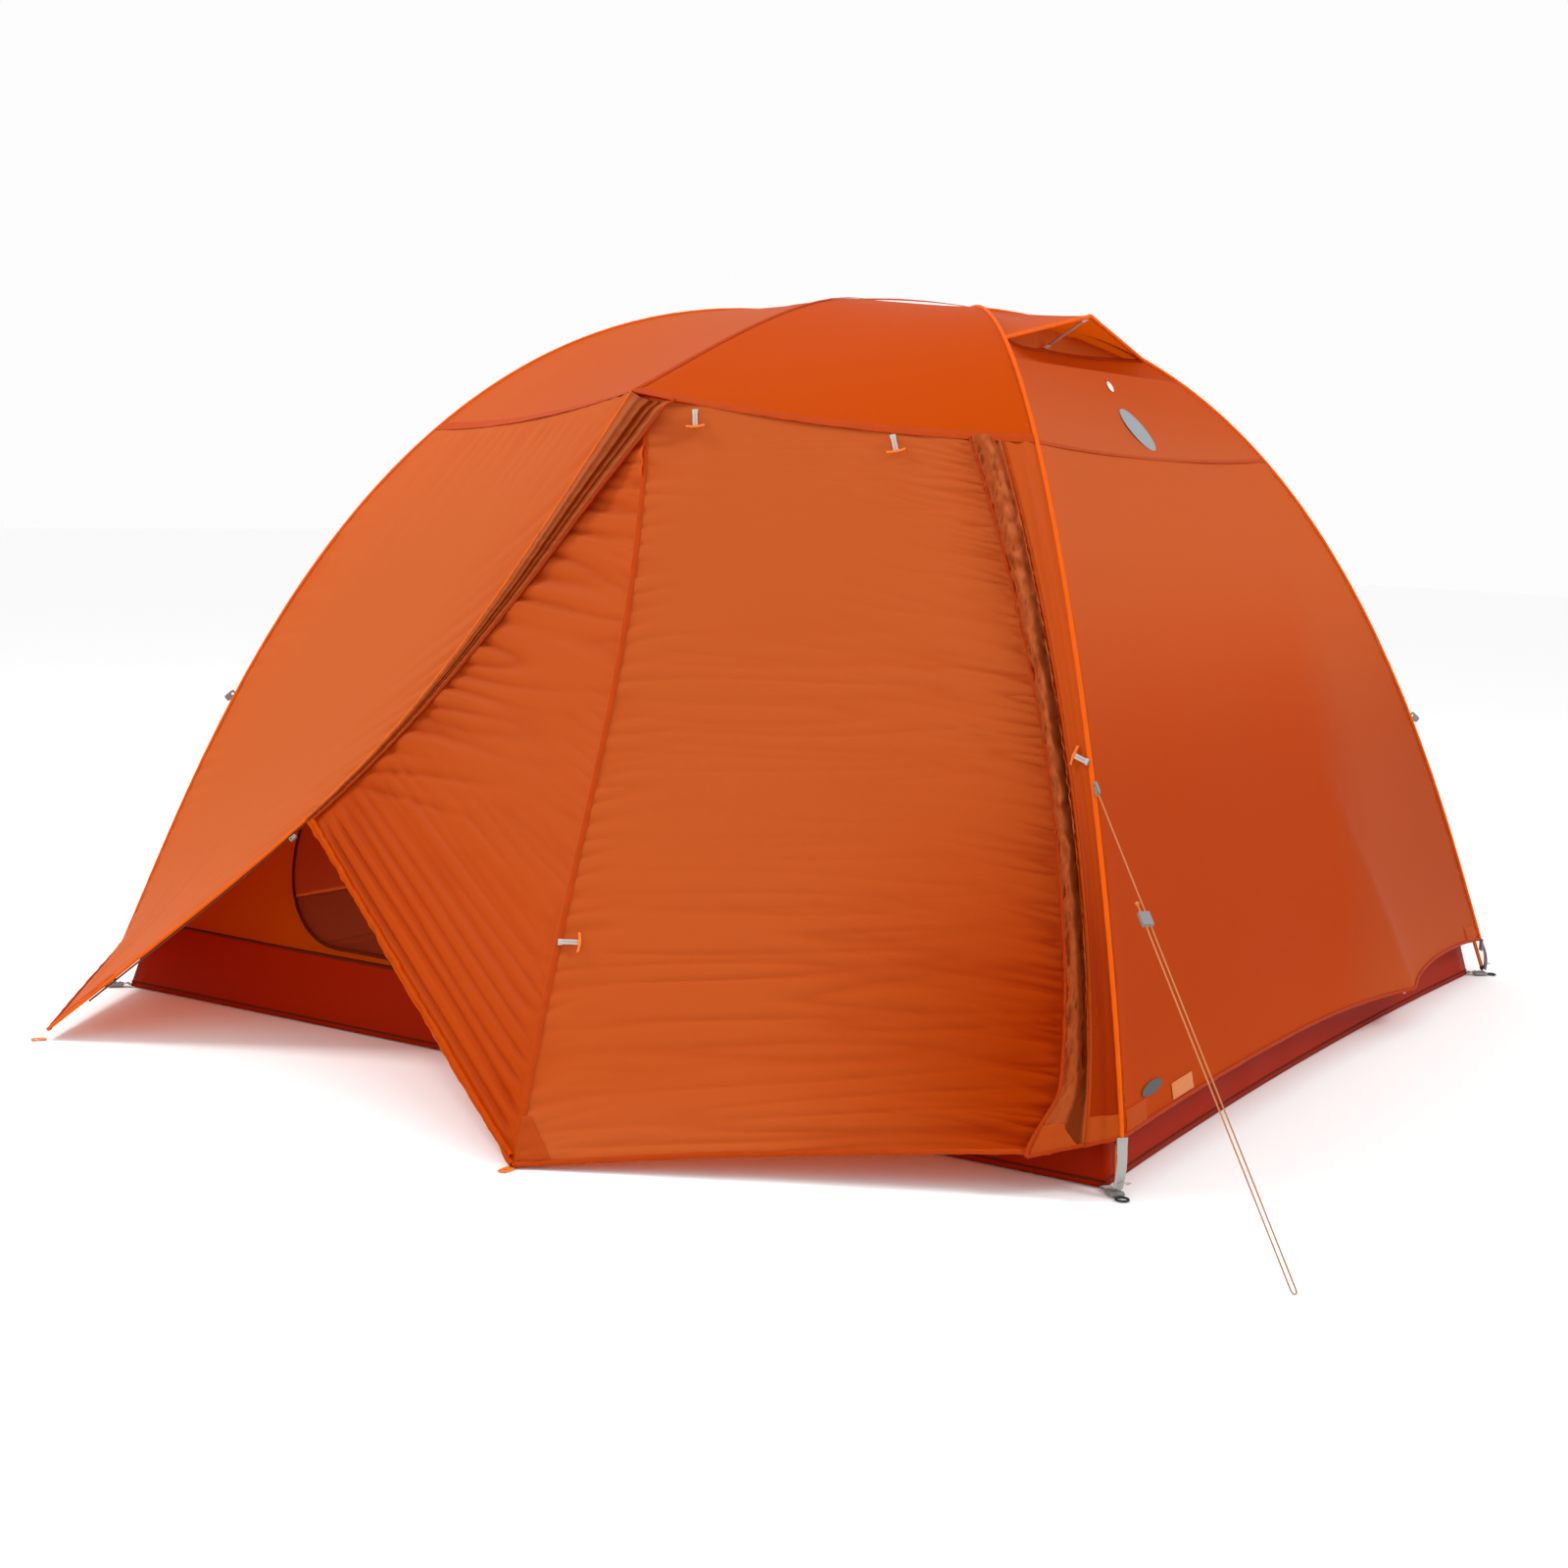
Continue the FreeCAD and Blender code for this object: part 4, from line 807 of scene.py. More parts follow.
# %% Flap rules
def long_flap(side):
    ridge, edge = line_on(LONG_ZIP, 1, side, 0, ZIP_END), flap_edge(side)

    def plain(across, along):
        point = ridge(along).lerp(edge(along), across)
        return point + Vector((0, 0, -0.012 * hump(across) * (1 - along) ** 4))

    def place(across, along):
        wide = (ridge(along) - edge(along)).length
        out = 0.005 + 0.010 * math.sin(math.pi * 0.62 * across) * (1 - 0.6 * along)
        out += 0.0016 * math.cos(across * 30) * ramp(across, 0.1, 0.3) * (1 - 0.5 * along)
        out += 0.016 * ramp(along, 0.0, 0.015) * (1 - ramp(along, 0.12, 0.35)) * ramp(across, 0.0, 0.25)
        out += 0.0040 * gathers(along * 1.3, across * wide, 0.022, 0.08, 21.0)
        out += 0.0016 * noise.noise(Vector((along * 60, across * 2.2, 5.0)))
        return plain(across, along) + outward(plain, across, along) * out
    return place


def long_flap_look(a, b):
    """Painted shade along three folds of the band and towards its top, and painted sheen in bands across it,
    bright near the free edge.
    """
    fold = math.exp(-((a - 0.22) / 0.05) ** 2) + math.exp(-((a - 0.45) / 0.05) ** 2) \
        + math.exp(-((a - 0.66) / 0.04) ** 2)
    return (0.35 + 0.2 * math.sin(a * 9) - 0.3 * fold, 0.25 + 0.5 * fold + 0.25 * (1 - b), 0.9)


def short_flap_look(a, b):
    """Painted sheen rippling over the upper half, with painted shade in a fold beside the strip that widens
    downwards.
    """
    sheen_ripple = 0.5 + 0.9 * noise.noise(Vector((b * 60, a * 5, 3.0)))
    fold = ramp(a, 0.70 - 0.25 * b, 0.84 - 0.2 * b) * ramp(b, 0.08, 0.4) * (1 - ramp(a, 0.9, 1.0))
    painted_sheen = (0.35 + 0.55 * sheen_ripple * ramp(a, 0.2, 0.6) * (1 - ramp(b, 0.55, 0.85))) * (1 - 0.8 * fold)
    return (painted_sheen, 0.15 + 0.9 * fold + 0.3 * (1 - sheen_ripple), 1.4 * (1 - 0.7 * ramp(b, 0.88, 0.96)))


def short_flap(side):
    zip_line, strip = line_on(SHORT_ZIP, 1, side), flap_line(side)

    def plain(across, along):
        left, right = zip_line(along), strip(along)
        flare = ramp(along, 0.91, 1.0) * 0.045
        left = left + (left - right).normalized() * flare
        return left.lerp(right, across)

    def place(across, along):
        point = plain(across, along)
        crinkle = noise.noise(Vector((along * 26, across * 2.6, 1.0)))
        fine = noise.noise(Vector((along * 95 + across * 6, across * 7, 2.0)))
        slack = 1 - 0.75 * ramp(along, 0.88, 0.96)
        out = 0.006 + 0.007 * math.sin(math.pi * across) * slack
        out += 0.009 * (0.4 - abs(crinkle)) * 2 * slack * hump(across) ** 0.5 + 0.0050 * fine * slack
        out -= 0.012 * ramp(across, 0.62, 0.80) * (1 - ramp(across, 0.84, 1.0)) * slack
        return point + outward(plain, across, along) * out
    return place


for side, word in ((FRONT, "front"), (BACK, "back")):
    flap = cut_piece(f"long_flap_{word}", [(30, 240, long_flap(side), long_flap_look)], flap_cloth,
                     "tent")
    declare_sheet(flap, 0.11, 1.35)
    flap = cut_piece(f"short_flap_{word}", [(40, 400, short_flap(side), short_flap_look)], flap_cloth,
                     "tent", ["zip_flaps"] if side == FRONT else ())
    declare_sheet(flap, 0.13, 1.5)

# %% [markdown]
# ## Seams, sleeves and hems
# A seam on tent cloth is a folded tape with two rows of stitches. The tape is another small grid, laid along
# its seam and crowned a little. Along the legs a round sleeve covers the seam where the pole runs, and every
# hem is rolled. A grid closed into a tube and welded along its join makes the sleeves and the rolls.

# %% Tape and roll helpers
def heading(path, share, step):
    """Direction of a line at a share of its length."""
    return (path(min(1, share + step)) - path(max(0, share - step))).normalized()


def add_tape(mesh, path, toward, wide, steps, lift=0.0012, heart=HEART):
    """Tape of a width centred on a path; toward gives a second point on the cloth beside it."""
    share = flat_grid(mesh, 6, steps)[1]
    frames = []
    for step in range(steps + 1):
        here = path(step / steps)
        run = heading(path, step / steps, 0.5 / steps)
        beside = toward(step / steps) - here
        beside = (beside - run * beside.dot(run)).normalized()
        out = run.cross(beside).normalized()
        if out.dot(here - heart) < 0:
            out = -out
        frames.append((here, beside, out))
    long = sum((frames[n + 1][0] - frames[n][0]).length for n in range(steps))
    for point, (across, along) in share.items():
        here, beside, out = frames[round(along * steps)]
        ruffle = 0.0007 * noise.noise(Vector((along * long * 110, across * 2, wide * 999)))
        point.co = here + beside * wide * (across - 0.5) + out * (lift + 0.0010 * hump(across) + ruffle)
    lay_uv(mesh, share, lambda across, along: (across, along * long))


def add_roll(mesh, path, radius, steps, sides=10, wobble=0.0, squeeze=1.0):
    """Closed tube along a path; squeeze flattens it across the vertical."""
    points, share = flat_grid(mesh, sides, steps)
    frames, normal = [], None
    for step in range(steps + 1):
        run = heading(path, step / steps, 0.5 / steps)
        if normal is None:
            normal = run.cross(Vector((0, 0, 1)))
            normal = normal if normal.length > 0.1 else run.cross(Vector((1, 0, 0)))
        normal = (normal - run * normal.dot(run)).normalized()
        frames.append((path(step / steps), normal, run.cross(normal).normalized()))
    long = sum((frames[n + 1][0] - frames[n][0]).length for n in range(steps))
    for point, (around, along) in share.items():
        here, side, up = frames[round(along * steps)]
        angle = 2 * math.pi * around
        spot = Vector((along * long * 45, math.cos(angle), math.sin(angle)))
        size = radius * (1 + wobble * noise.noise(spot))
        point.co = here + side * size * math.cos(angle) + up * size * squeeze * math.sin(angle)
    lay_uv(mesh, share, lambda around, along: (around, along * long))
    bmesh.ops.remove_doubles(mesh, verts=points, dist=radius * 0.02)


def edge_of(place, across=None, along=None):
    """One edge of a panel as a line."""
    if across is None:
        return lambda share: place(share, along)
    return lambda share: place(across, share)

# %% Seams of the fixed fly
tapes, sleeves = bmesh.new(), bmesh.new()
for side in (FRONT, BACK):
    for end in (RIGHT, LEFT):
        roof = roof_panel(end, side)
        add_roll(sleeves, line_on(LEG, end, side, 0.0, HEM_SHARE), 0.0043, 180, 10, 0.12)
        add_tape(tapes, edge_of(roof, along=0.988), edge_of(roof, along=0.93), 0.026, 60)
    add_tape(tapes, line_on(ROOF, 1, side), edge_of(roof_panel(RIGHT, side), across=0.05), 0.010, 60)
    add_roll(sleeves, line_on(LONG_ZIP, 1, side), 0.0036, 160, 8, 0.25)
    strip = strip_panel(side)
    add_tape(tapes, edge_of(strip, across=0.02), edge_of(strip, across=0.2), 0.012, 120)
add_tape(tapes, lambda s: HUB.lerp(turned(HUB, LEFT, FRONT), s) + Vector((0, 0, 0.022 * hump(s))),
         lambda s: HUB.lerp(turned(HUB, LEFT, FRONT), s) + Vector((0, -0.05, 0)), 0.012, 20)
for end in (RIGHT, LEFT):
    upper = upper_wall(end)
    add_tape(tapes, edge_of(upper, along=1.0), edge_of(upper, along=0.95), 0.009, 80)
for mesh in (tapes, sleeves):
    face_out(mesh, HEART)
finish_piece("fly_seams", tapes, [seam_tape], "tent")
finish_piece("leg_sleeves", sleeves, [sleeve_tape], "tent")

# %% Hems of the fixed fly
hems = bmesh.new()
for end in (RIGHT, LEFT):
    add_roll(hems, edge_of(lower_wall(end), along=0.999), 0.0042, 120, 8, 0.3)
for side in (FRONT, BACK):
    add_roll(hems, edge_of(side_panel(side), along=0.999), 0.0042, 60, 8, 0.3)
    add_roll(hems, edge_of(short_flap(side), along=0.999), 0.0036, 20, 8, 0.3)
    add_roll(hems, edge_of(strip_panel(side), along=0.999), 0.0040, 10, 8, 0.2)
    add_roll(hems, lambda s, f=short_flap(side): f(0.0, s), 0.0040, 240, 8, 0.6)
    add_roll(hems, lambda s, f=long_flap(side): f(1.0, s), 0.0030, 160, 8, 0.4)
finish_piece("fly_hems", hems, [trim_tape], "tent")

# %% Seams of the awnings and doors
for side, word in ((FRONT, "front"), (BACK, "back")):
    awning, door = awning_panel(side)[0], door_panel(side)[0]
    band, trim = bmesh.new(), bmesh.new()
    add_tape(band, edge_of(awning, across=0.006), edge_of(awning, across=0.06), 0.011, 150)
    add_roll(trim, edge_of(awning, along=0.999), 0.0050, 60, 8, 0.35)
    face_out(band, HEART)
    for mesh, name in ((band, "centre_seam"), (trim, "awning_hem")):
        finish_piece(f"{name}_{word}", mesh, [seam_tape], f"awning_{word}")
    trim = bmesh.new()
    add_roll(trim, edge_of(door, along=0.999), 0.0065, 140, 12, 0.5)
    add_roll(trim, lambda s, d=door: d(s, 0.985) + Vector((0, -0.006, -0.004)), 0.0050, 140, 10, 0.6)
    finish_piece(f"door_roll_{word}", trim, [fly_cloth], f"door_{word}")

# %% [markdown]
# ## The vent
# A hood runs from the hub out to a tip that a small prop holds up. It is one cloth over both sides. Under it
# lies the mesh, and a short strip of webbing is the prop.

# %% Hood, mesh and prop
def hood_rim(across):
    """Free edge of the hood from the front leg (0) over the tip to the back leg (1)."""
    side = -1 if across < 0.5 else 1
    share = math.sqrt((2 * across - 1) ** 2 + 0.003) - 0.0548 * (1 - abs(2 * across - 1))
    return VENT_TIP.lerp(turned(vent_end, RIGHT, side), min(1, share))


def hood_panel(across, along):
    side = -1 if across < 0.5 else 1
    rim = hood_rim(across)
    point = HUB.lerp(rim, along)
    leg = turned(bezier(LEG, VENT_SHARE * along), RIGHT, side)
    flat = HUB.lerp(turned(vent_end, RIGHT, side), along)
    point += (leg - flat) * abs(2 * across - 1) ** 3
    point.z -= 0.006 * hump(along) * hump(across)
    return point


# Some painted sheen and a little painted shade on the hood.
hood_piece = cut_piece("vent_hood_cloth", [(60, 40, hood_panel, lambda a, b: (0.25, 0.1, 0.2))], fly_cloth,
                       "tent", ["vent_hood", "vent_crown"], Vector((0.4, 0, 1.2)), 0.0003)
declare_sheet(hood_piece, 0.46, 0.80)
rim_roll = bmesh.new()
add_roll(rim_roll, lambda s: hood_rim(s) - Vector((0, 0, 0.001)), 0.0045, 80, 10, 0.15)
rim_piece = finish_piece("vent_hood_rim", rim_roll, [sleeve_tape], "tent")
for piece in (hood_piece, rim_piece):
    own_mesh(piece)

# %% Mesh over the opening
def mesh_panel(across, along):
    low = sill_edge(0.03 + 0.94 * across) + Vector((-0.006, 0, -0.004))
    high = hood_panel(0.05 + 0.9 * across, 0.60) - Vector((0.0, 0, 0.014))
    return high.lerp(low, along)


def net_pattern(add, threads):
    """Distance to the nearest thread of a net with so many holes to the metre."""
    flat = add("UVMap", uv_map="UVMap").outputs[0]
    at = add("Mapping", {"Vector": flat, "Scale": (threads,) * 3}).outputs[0]
    return add("TexVoronoi", {"Vector": at, "Scale": 1.0}, feature="DISTANCE_TO_EDGE").outputs[0]


mesh_cloth, shader, add = start_finish("vent_mesh_net", 0.7)
net = net_pattern(add, 900)
thread = add("Math", {0: net, 1: 0.20}, operation="LESS_THAN").outputs[0]
shader.inputs["Base Color"].default_value = linear(228, 138, 52)
shader.inputs["Alpha"].default_value = 0.8
bump = add("Bump", {"Height": thread, "Distance": 0.0003})
connect(mesh_cloth, bump.outputs[0], shader.inputs["Normal"])
net_glow = add("BsdfTranslucent", {"Color": linear(250, 160, 50)})
net_mix = add("MixShader", {0: 0.5, 1: shader.outputs[0], 2: net_glow.outputs[0]})
connect(mesh_cloth, net_mix.outputs[0], mesh_cloth.node_tree.nodes["Material Output"].inputs[0])
vent_net = cut_piece("vent_net", [(40, 8, mesh_panel)], mesh_cloth, "tent", ["vent_mesh"],
                     Vector((0.3, 0, 1.2)))
declare_sheet(vent_net, 0.72, 0.10)
rim = bmesh.new()
add_roll(rim, sill_edge, 0.0040, 80, 8, 0.2)
finish_piece("sill_hem", rim, [trim_tape], "tent")


def add_band(mesh, path, across, wide, thick, steps):
    """Flat webbing with a real thickness, its width along a fixed direction."""
    points, share = flat_grid(mesh, 8, steps)
    long = run_length(path, steps)
    for point, (around, along) in share.items():
        here = path(along)
        run = heading(path, along, 0.02)
        flat = (across - run * across.dot(run)).normalized()
        out = run.cross(flat)
        angle = 2 * math.pi * around + math.pi / 8
        x, y = math.cos(angle), math.sin(angle)
        x, y = (math.copysign(abs(x) ** 0.35, x), math.copysign(abs(y) ** 0.8, y))
        point.co = here + flat * wide / 2 * x + out * thick / 2 * y
    lay_uv(mesh, share, lambda around, along: (abs(2 * around - 1) * wide, along * long))
    bmesh.ops.remove_doubles(mesh, verts=points, dist=thick * 0.05)


prop_top, prop_low = VENT_TIP + Vector((-0.008, 0, -0.006)), PROP_FOOT + Vector((0.002, 0, 0.006))
prop = bmesh.new()
add_band(prop, straight(prop_top, prop_low), Vector((0, 1, 0)), 0.016, 0.0035, 12)
pink_web = webbing_finish("pink_webbing", linear(206, 150, 130))
finish_piece("vent_prop", prop, [pink_web], "vent_strut", ["vent_strut"])
ends = bmesh.new()
for place in (straight(prop_top, prop_low), straight(prop_low, prop_top)):
    add_band(ends, lambda s, p=place: p(0.1 * s), Vector((0, 1, 0)), 0.019, 0.0050, 4)
finish_piece("vent_prop_ends", ends, [white_plastic], "vent_strut")

# %% [markdown]
# ## The inner tent
# Inside the fly hangs a second, smaller tent: light cloth walls and roof, a dark floor with raised sides, and
# a D-shaped door on each long side. The walls use the poles' own curves, set in by the hang of the clips.
# The door is the part of the same grid that lies inside the D; its edge points are slid onto the outline.

# %% Inner walls and roof
DOOR = {"left": -0.815, "right": 0.190, "low": 0.162, "high": 1.080, "corner": 0.200}


def inner_end(end):
    near, far = line_on(INNER, end, FRONT, 0.03), line_on(INNER, end, BACK, 0.03)

    def place(across, along):
        point = near(along).lerp(far(along), across)
        point.x -= end * (0.030 * hump(across) * hump(along) - 0.004 * billow(point, 0.3, 3.0) * hump(across))
        return point
    return place


def inner_top(side):
    left, right = line_on(INNER, LEFT, side, 0, SEAM_SHARE), line_on(INNER, RIGHT, side, 0, SEAM_SHARE)

    def place(across, along):
        point = left(along).lerp(right(along), across)
        point.z -= 0.03 * hump(across) * along
        return point
    return place


def inner_wall(side):
    left, right = line_on(INNER, LEFT, side, SEAM_SHARE), line_on(INNER, RIGHT, side, SEAM_SHARE)

    def place(across, along):
        point = left(along).lerp(right(along), across)
        point.z -= 0.03 * hump(across) * (1 - along) ** 3
        edge = min(along, 1 - along)
        wave = 0.008 * noise.noise(Vector((across * 22, along * 1.5, 7.0))) * ramp(edge, 0, 0.1)
        point.y -= side * (0.018 * hump(across) * hump(along) + wave)
        return point
    return place


def off_outline(x, z):
    """Distance inside (negative) or outside (positive) the door's outline, and the nearest way out."""
    middle = Vector(((DOOR["left"] + DOOR["right"]) / 2, (DOOR["low"] + DOOR["high"]) / 2))
    half = Vector(((DOOR["right"] - DOOR["left"]) / 2, (DOOR["high"] - DOOR["low"]) / 2))
    over = Vector((abs(x - middle.x) - half.x + DOOR["corner"], abs(z - middle.y) - half.y + DOOR["corner"]))
    reach = Vector((max(over.x, 0), max(over.y, 0)))
    if reach.length > 0:
        way = reach.normalized()
    else:
        way = Vector((1, 0)) if over.x > over.y else Vector((0, 1))
    way = Vector((math.copysign(way.x, x - middle.x), math.copysign(way.y, z - middle.y)))
    return reach.length + min(max(over.x, over.y), 0) - DOOR["corner"], way


def wall_with_door(side, word):
    """The inner wall's grid, cut in two along the door's outline."""
    grid = bmesh.new()
    # A little painted sheen on the inner walls.
    add_panel(grid, 150, 110, inner_wall(side), lambda a, b: (0.1, 0.0, 0.5))
    inside = []
    for face in grid.faces:
        centre = face.calc_center_median()
        if off_outline(centre.x, centre.z)[0] < 0:
            inside.append(face)
    within = set(inside)
    rim = {vert for face in inside for vert in face.verts if any(f not in within for f in vert.link_faces)}
    for vert in rim:
        away, way = off_outline(vert.co.x, vert.co.z)
        vert.co.x -= way.x * away
        vert.co.z -= way.y * away
    leaf = grid.copy()
    picked = {face.index for face in inside}
    bmesh.ops.delete(grid, geom=inside, context="FACES")
    leaf.faces.ensure_lookup_table()
    bmesh.ops.delete(leaf, geom=[face for face in leaf.faces if face.index not in picked], context="FACES")
    for mesh in (grid, leaf):
        face_out(mesh, INNER_HEART)
    wall = finish_piece(f"inner_wall_{word}_cloth", grid, [inner_cloth], "tent",
                        [f"inner_wall_{word}"])
    declare_sheet(wall, 2.35, 1.25)
    door = finish_piece(f"inner_door_{word}_net", leaf, [door_net], f"inner_door_{word}",
                        [f"inner_door_{word}"])
    declare_sheet(door, 1.01, 1.0)


door_net, shader, add = start_finish("door_net", 0.8)
shader.inputs["Base Color"].default_value = linear(150, 60, 14)
shader.inputs["Alpha"].default_value = 0.5
bump = add("Bump", {"Height": net_pattern(add, 700), "Distance": 0.0003})
connect(door_net, bump.outputs[0], shader.inputs["Normal"])

for end, word in ((RIGHT, "right"), (LEFT, "left")):
    wall = cut_piece(f"inner_end_{word}", [(60, 70, inner_end(end))], inner_cloth, "tent",
                     ["inner_end_walls"] if end == RIGHT else (), INNER_HEART)
    declare_sheet(wall, 2.3, 1.75)
canopy = cut_piece("inner_canopy", [(50, 30, inner_top(side)) for side in (FRONT, BACK)], inner_cloth,
                   "tent", ["inner_roof"], INNER_HEART, 0.0006)
declare_sheet(canopy, 1.45, 1.6)
wall_with_door(FRONT, "front")
wall_with_door(BACK, "back")

# %% [markdown]
# The D zip is a dark tape round the door's outline. Its line is sampled from the
# same rounded rectangle and dropped onto the wall.

# %% Door zips
def door_outline(side):
    """Line round the door from its top right corner, over the left side, to its lower right corner."""
    wall = inner_wall(side)
    left, right, low, high, corner = (DOOR[key] for key in ("left", "right", "low", "high", "corner"))
    flat = [(right, high), (left + corner, high)]
    flat += [(left + corner - corner * math.sin(a), high - corner + corner * math.cos(a))
             for a in (math.radians(9 * n) for n in range(1, 11))]
    flat += [(left, low + corner + (high - low - 2 * corner) * (1 - n / 6)) for n in range(1, 7)]
    flat += [(left + corner - corner * math.cos(a), low + corner - corner * math.sin(a))
             for a in (math.radians(9 * n) for n in range(1, 11))]
    flat += [(right, low)]
    lengths = [0.0]
    for (x0, z0), (x1, z1) in zip(flat, flat[1:]):
        lengths.append(lengths[-1] + math.hypot(x1 - x0, z1 - z0))

    def on_wall(x, z):
        a, b = (x + 1.1) / 2.2, 0.5
        for _ in range(12):
            point = wall(a, b)
            b = min(1, max(0, b + (point.z - z) / 1.25))
            a = min(1, max(0, a + (x - point.x) / 2.2))
        return wall(a, b)

    def line(share):
        far = share * lengths[-1]
        n = max(i for i in range(len(flat) - 1) if lengths[i] <= far + 1e-9)
        part = min(1, (far - lengths[n]) / (lengths[n + 1] - lengths[n]))
        x = flat[n][0] + (flat[n + 1][0] - flat[n][0]) * part
        z = flat[n][1] + (flat[n + 1][1] - flat[n][1]) * part
        return on_wall(x, z) + Vector((0, side * 0.003, 0))
    return line


for side, word in ((FRONT, "front"), (BACK, "back")):
    ring = bmesh.new()
    line = door_outline(side)
    known = {n: line(n / 140) for n in range(141)}
    path = lambda s, k=known: k[round(s * 140)] if abs(s * 140 - round(s * 140)) < 1e-6 else \
        k[int(s * 140)].lerp(k[min(140, int(s * 140) + 1)], s * 140 - int(s * 140))
    add_roll(ring, path, 0.0050, 140, 8, 0.0, 0.6)
    finish_piece(f"door_zip_{word}", ring, [zip_tape], "tent")

# %% [markdown]
# ## The floor
# A bathtub floor: a flat sheet with raised sides that lean in. The free sides bow inwards a little between
# the corners, and the cloth is slack. One grid for the bottom and one for each side, welded at the edges.

# %% Bathtub floor
LONG, WIDE, TALL, LEAN = 1.2, 1.143, 0.150, 0.034


def floor_edge(share, number):
    """Lower edge of one side: 0 front, 1 right, 2 back, 3 left; share runs round the floor."""
    corners = ((-LONG, -WIDE), (LONG, -WIDE), (LONG, WIDE), (-LONG, WIDE))
    (x0, y0), (x1, y1) = corners[number], corners[(number + 1) % 4]
    x, y = x0 + (x1 - x0) * share, y0 + (y1 - y0) * share
    bow = 0.030 * hump(share)
    return Vector((x - bow * (number == 1) + bow * (number == 3), y, 0.002))


def floor_side(number):
    def place(across, along):
        low = floor_edge(across, number)
        lean = LEAN * (1 - along)
        x = low.x - math.copysign(lean, low.x) * min(1, abs(low.x) / LONG)
        y = low.y - math.copysign(lean, low.y) * min(1, abs(low.y) / WIDE)
        wave = 0.006 * noise.noise(Vector((across * 14, along * 2, number))) * hump(across) * hump(along)
        sag = 0.006 * hump(across) * (1 - along)
        return Vector((x + wave * (number % 2), y + wave * (1 - number % 2),
                       low.z + (TALL - low.z) * (1 - along) - sag))
    return place


def floor_bottom(across, along):
    front, back = floor_edge(across, 0), floor_edge(1 - across, 2)
    left, right = floor_edge(1 - along, 3), floor_edge(along, 1)
    x = left.x + (right.x - left.x) * across
    y = front.y + (back.y - front.y) * along
    ripple = 0.003 * abs(noise.noise(Vector((x * 5, y * 5, 1.0)))) * hump(across) * hump(along)
    return Vector((x, y, 0.002 + ripple))


tub_grids = [(60, 60, floor_bottom)] + [(60, 14, floor_side(number)) for number in range(4)]
tub_piece = cut_piece("bathtub_cloth", tub_grids, floor_cloth, "tent", ["bathtub_floor"],
                      Vector((0, 0, 0.1)), 0.0006)
declare_sheet(tub_piece, 2.75, 2.65)
seam = bmesh.new()
for number in range(4):
    add_roll(seam, edge_of(floor_side(number), along=0.0), 0.0035, 80, 8, 0.2)
    add_roll(seam, lambda s, p=floor_side(number): p(s, 0.93), 0.0022, 80, 6, 0.2)
finish_piece("bathtub_seams", seam, [zip_tape], "tent")

# %% [markdown]
# ## Corner fittings
# At each corner a webbing strap drops from the hem to a ladder-lock buckle, which is pinned to a peg ring; a
# second strap comes from the floor. The ring is a circle spun round an axis. The buckle starts as a cube,
# takes rounded edges from a bevel, and gets three small rounded bars across it.

# %% Straps, buckles and rings
hem_point = bezier(LEG, HEM_SHARE)
outward_way = Vector((0.7692, 0.6390, 0))
BUCKLE_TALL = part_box("corner_buckles")[1].z


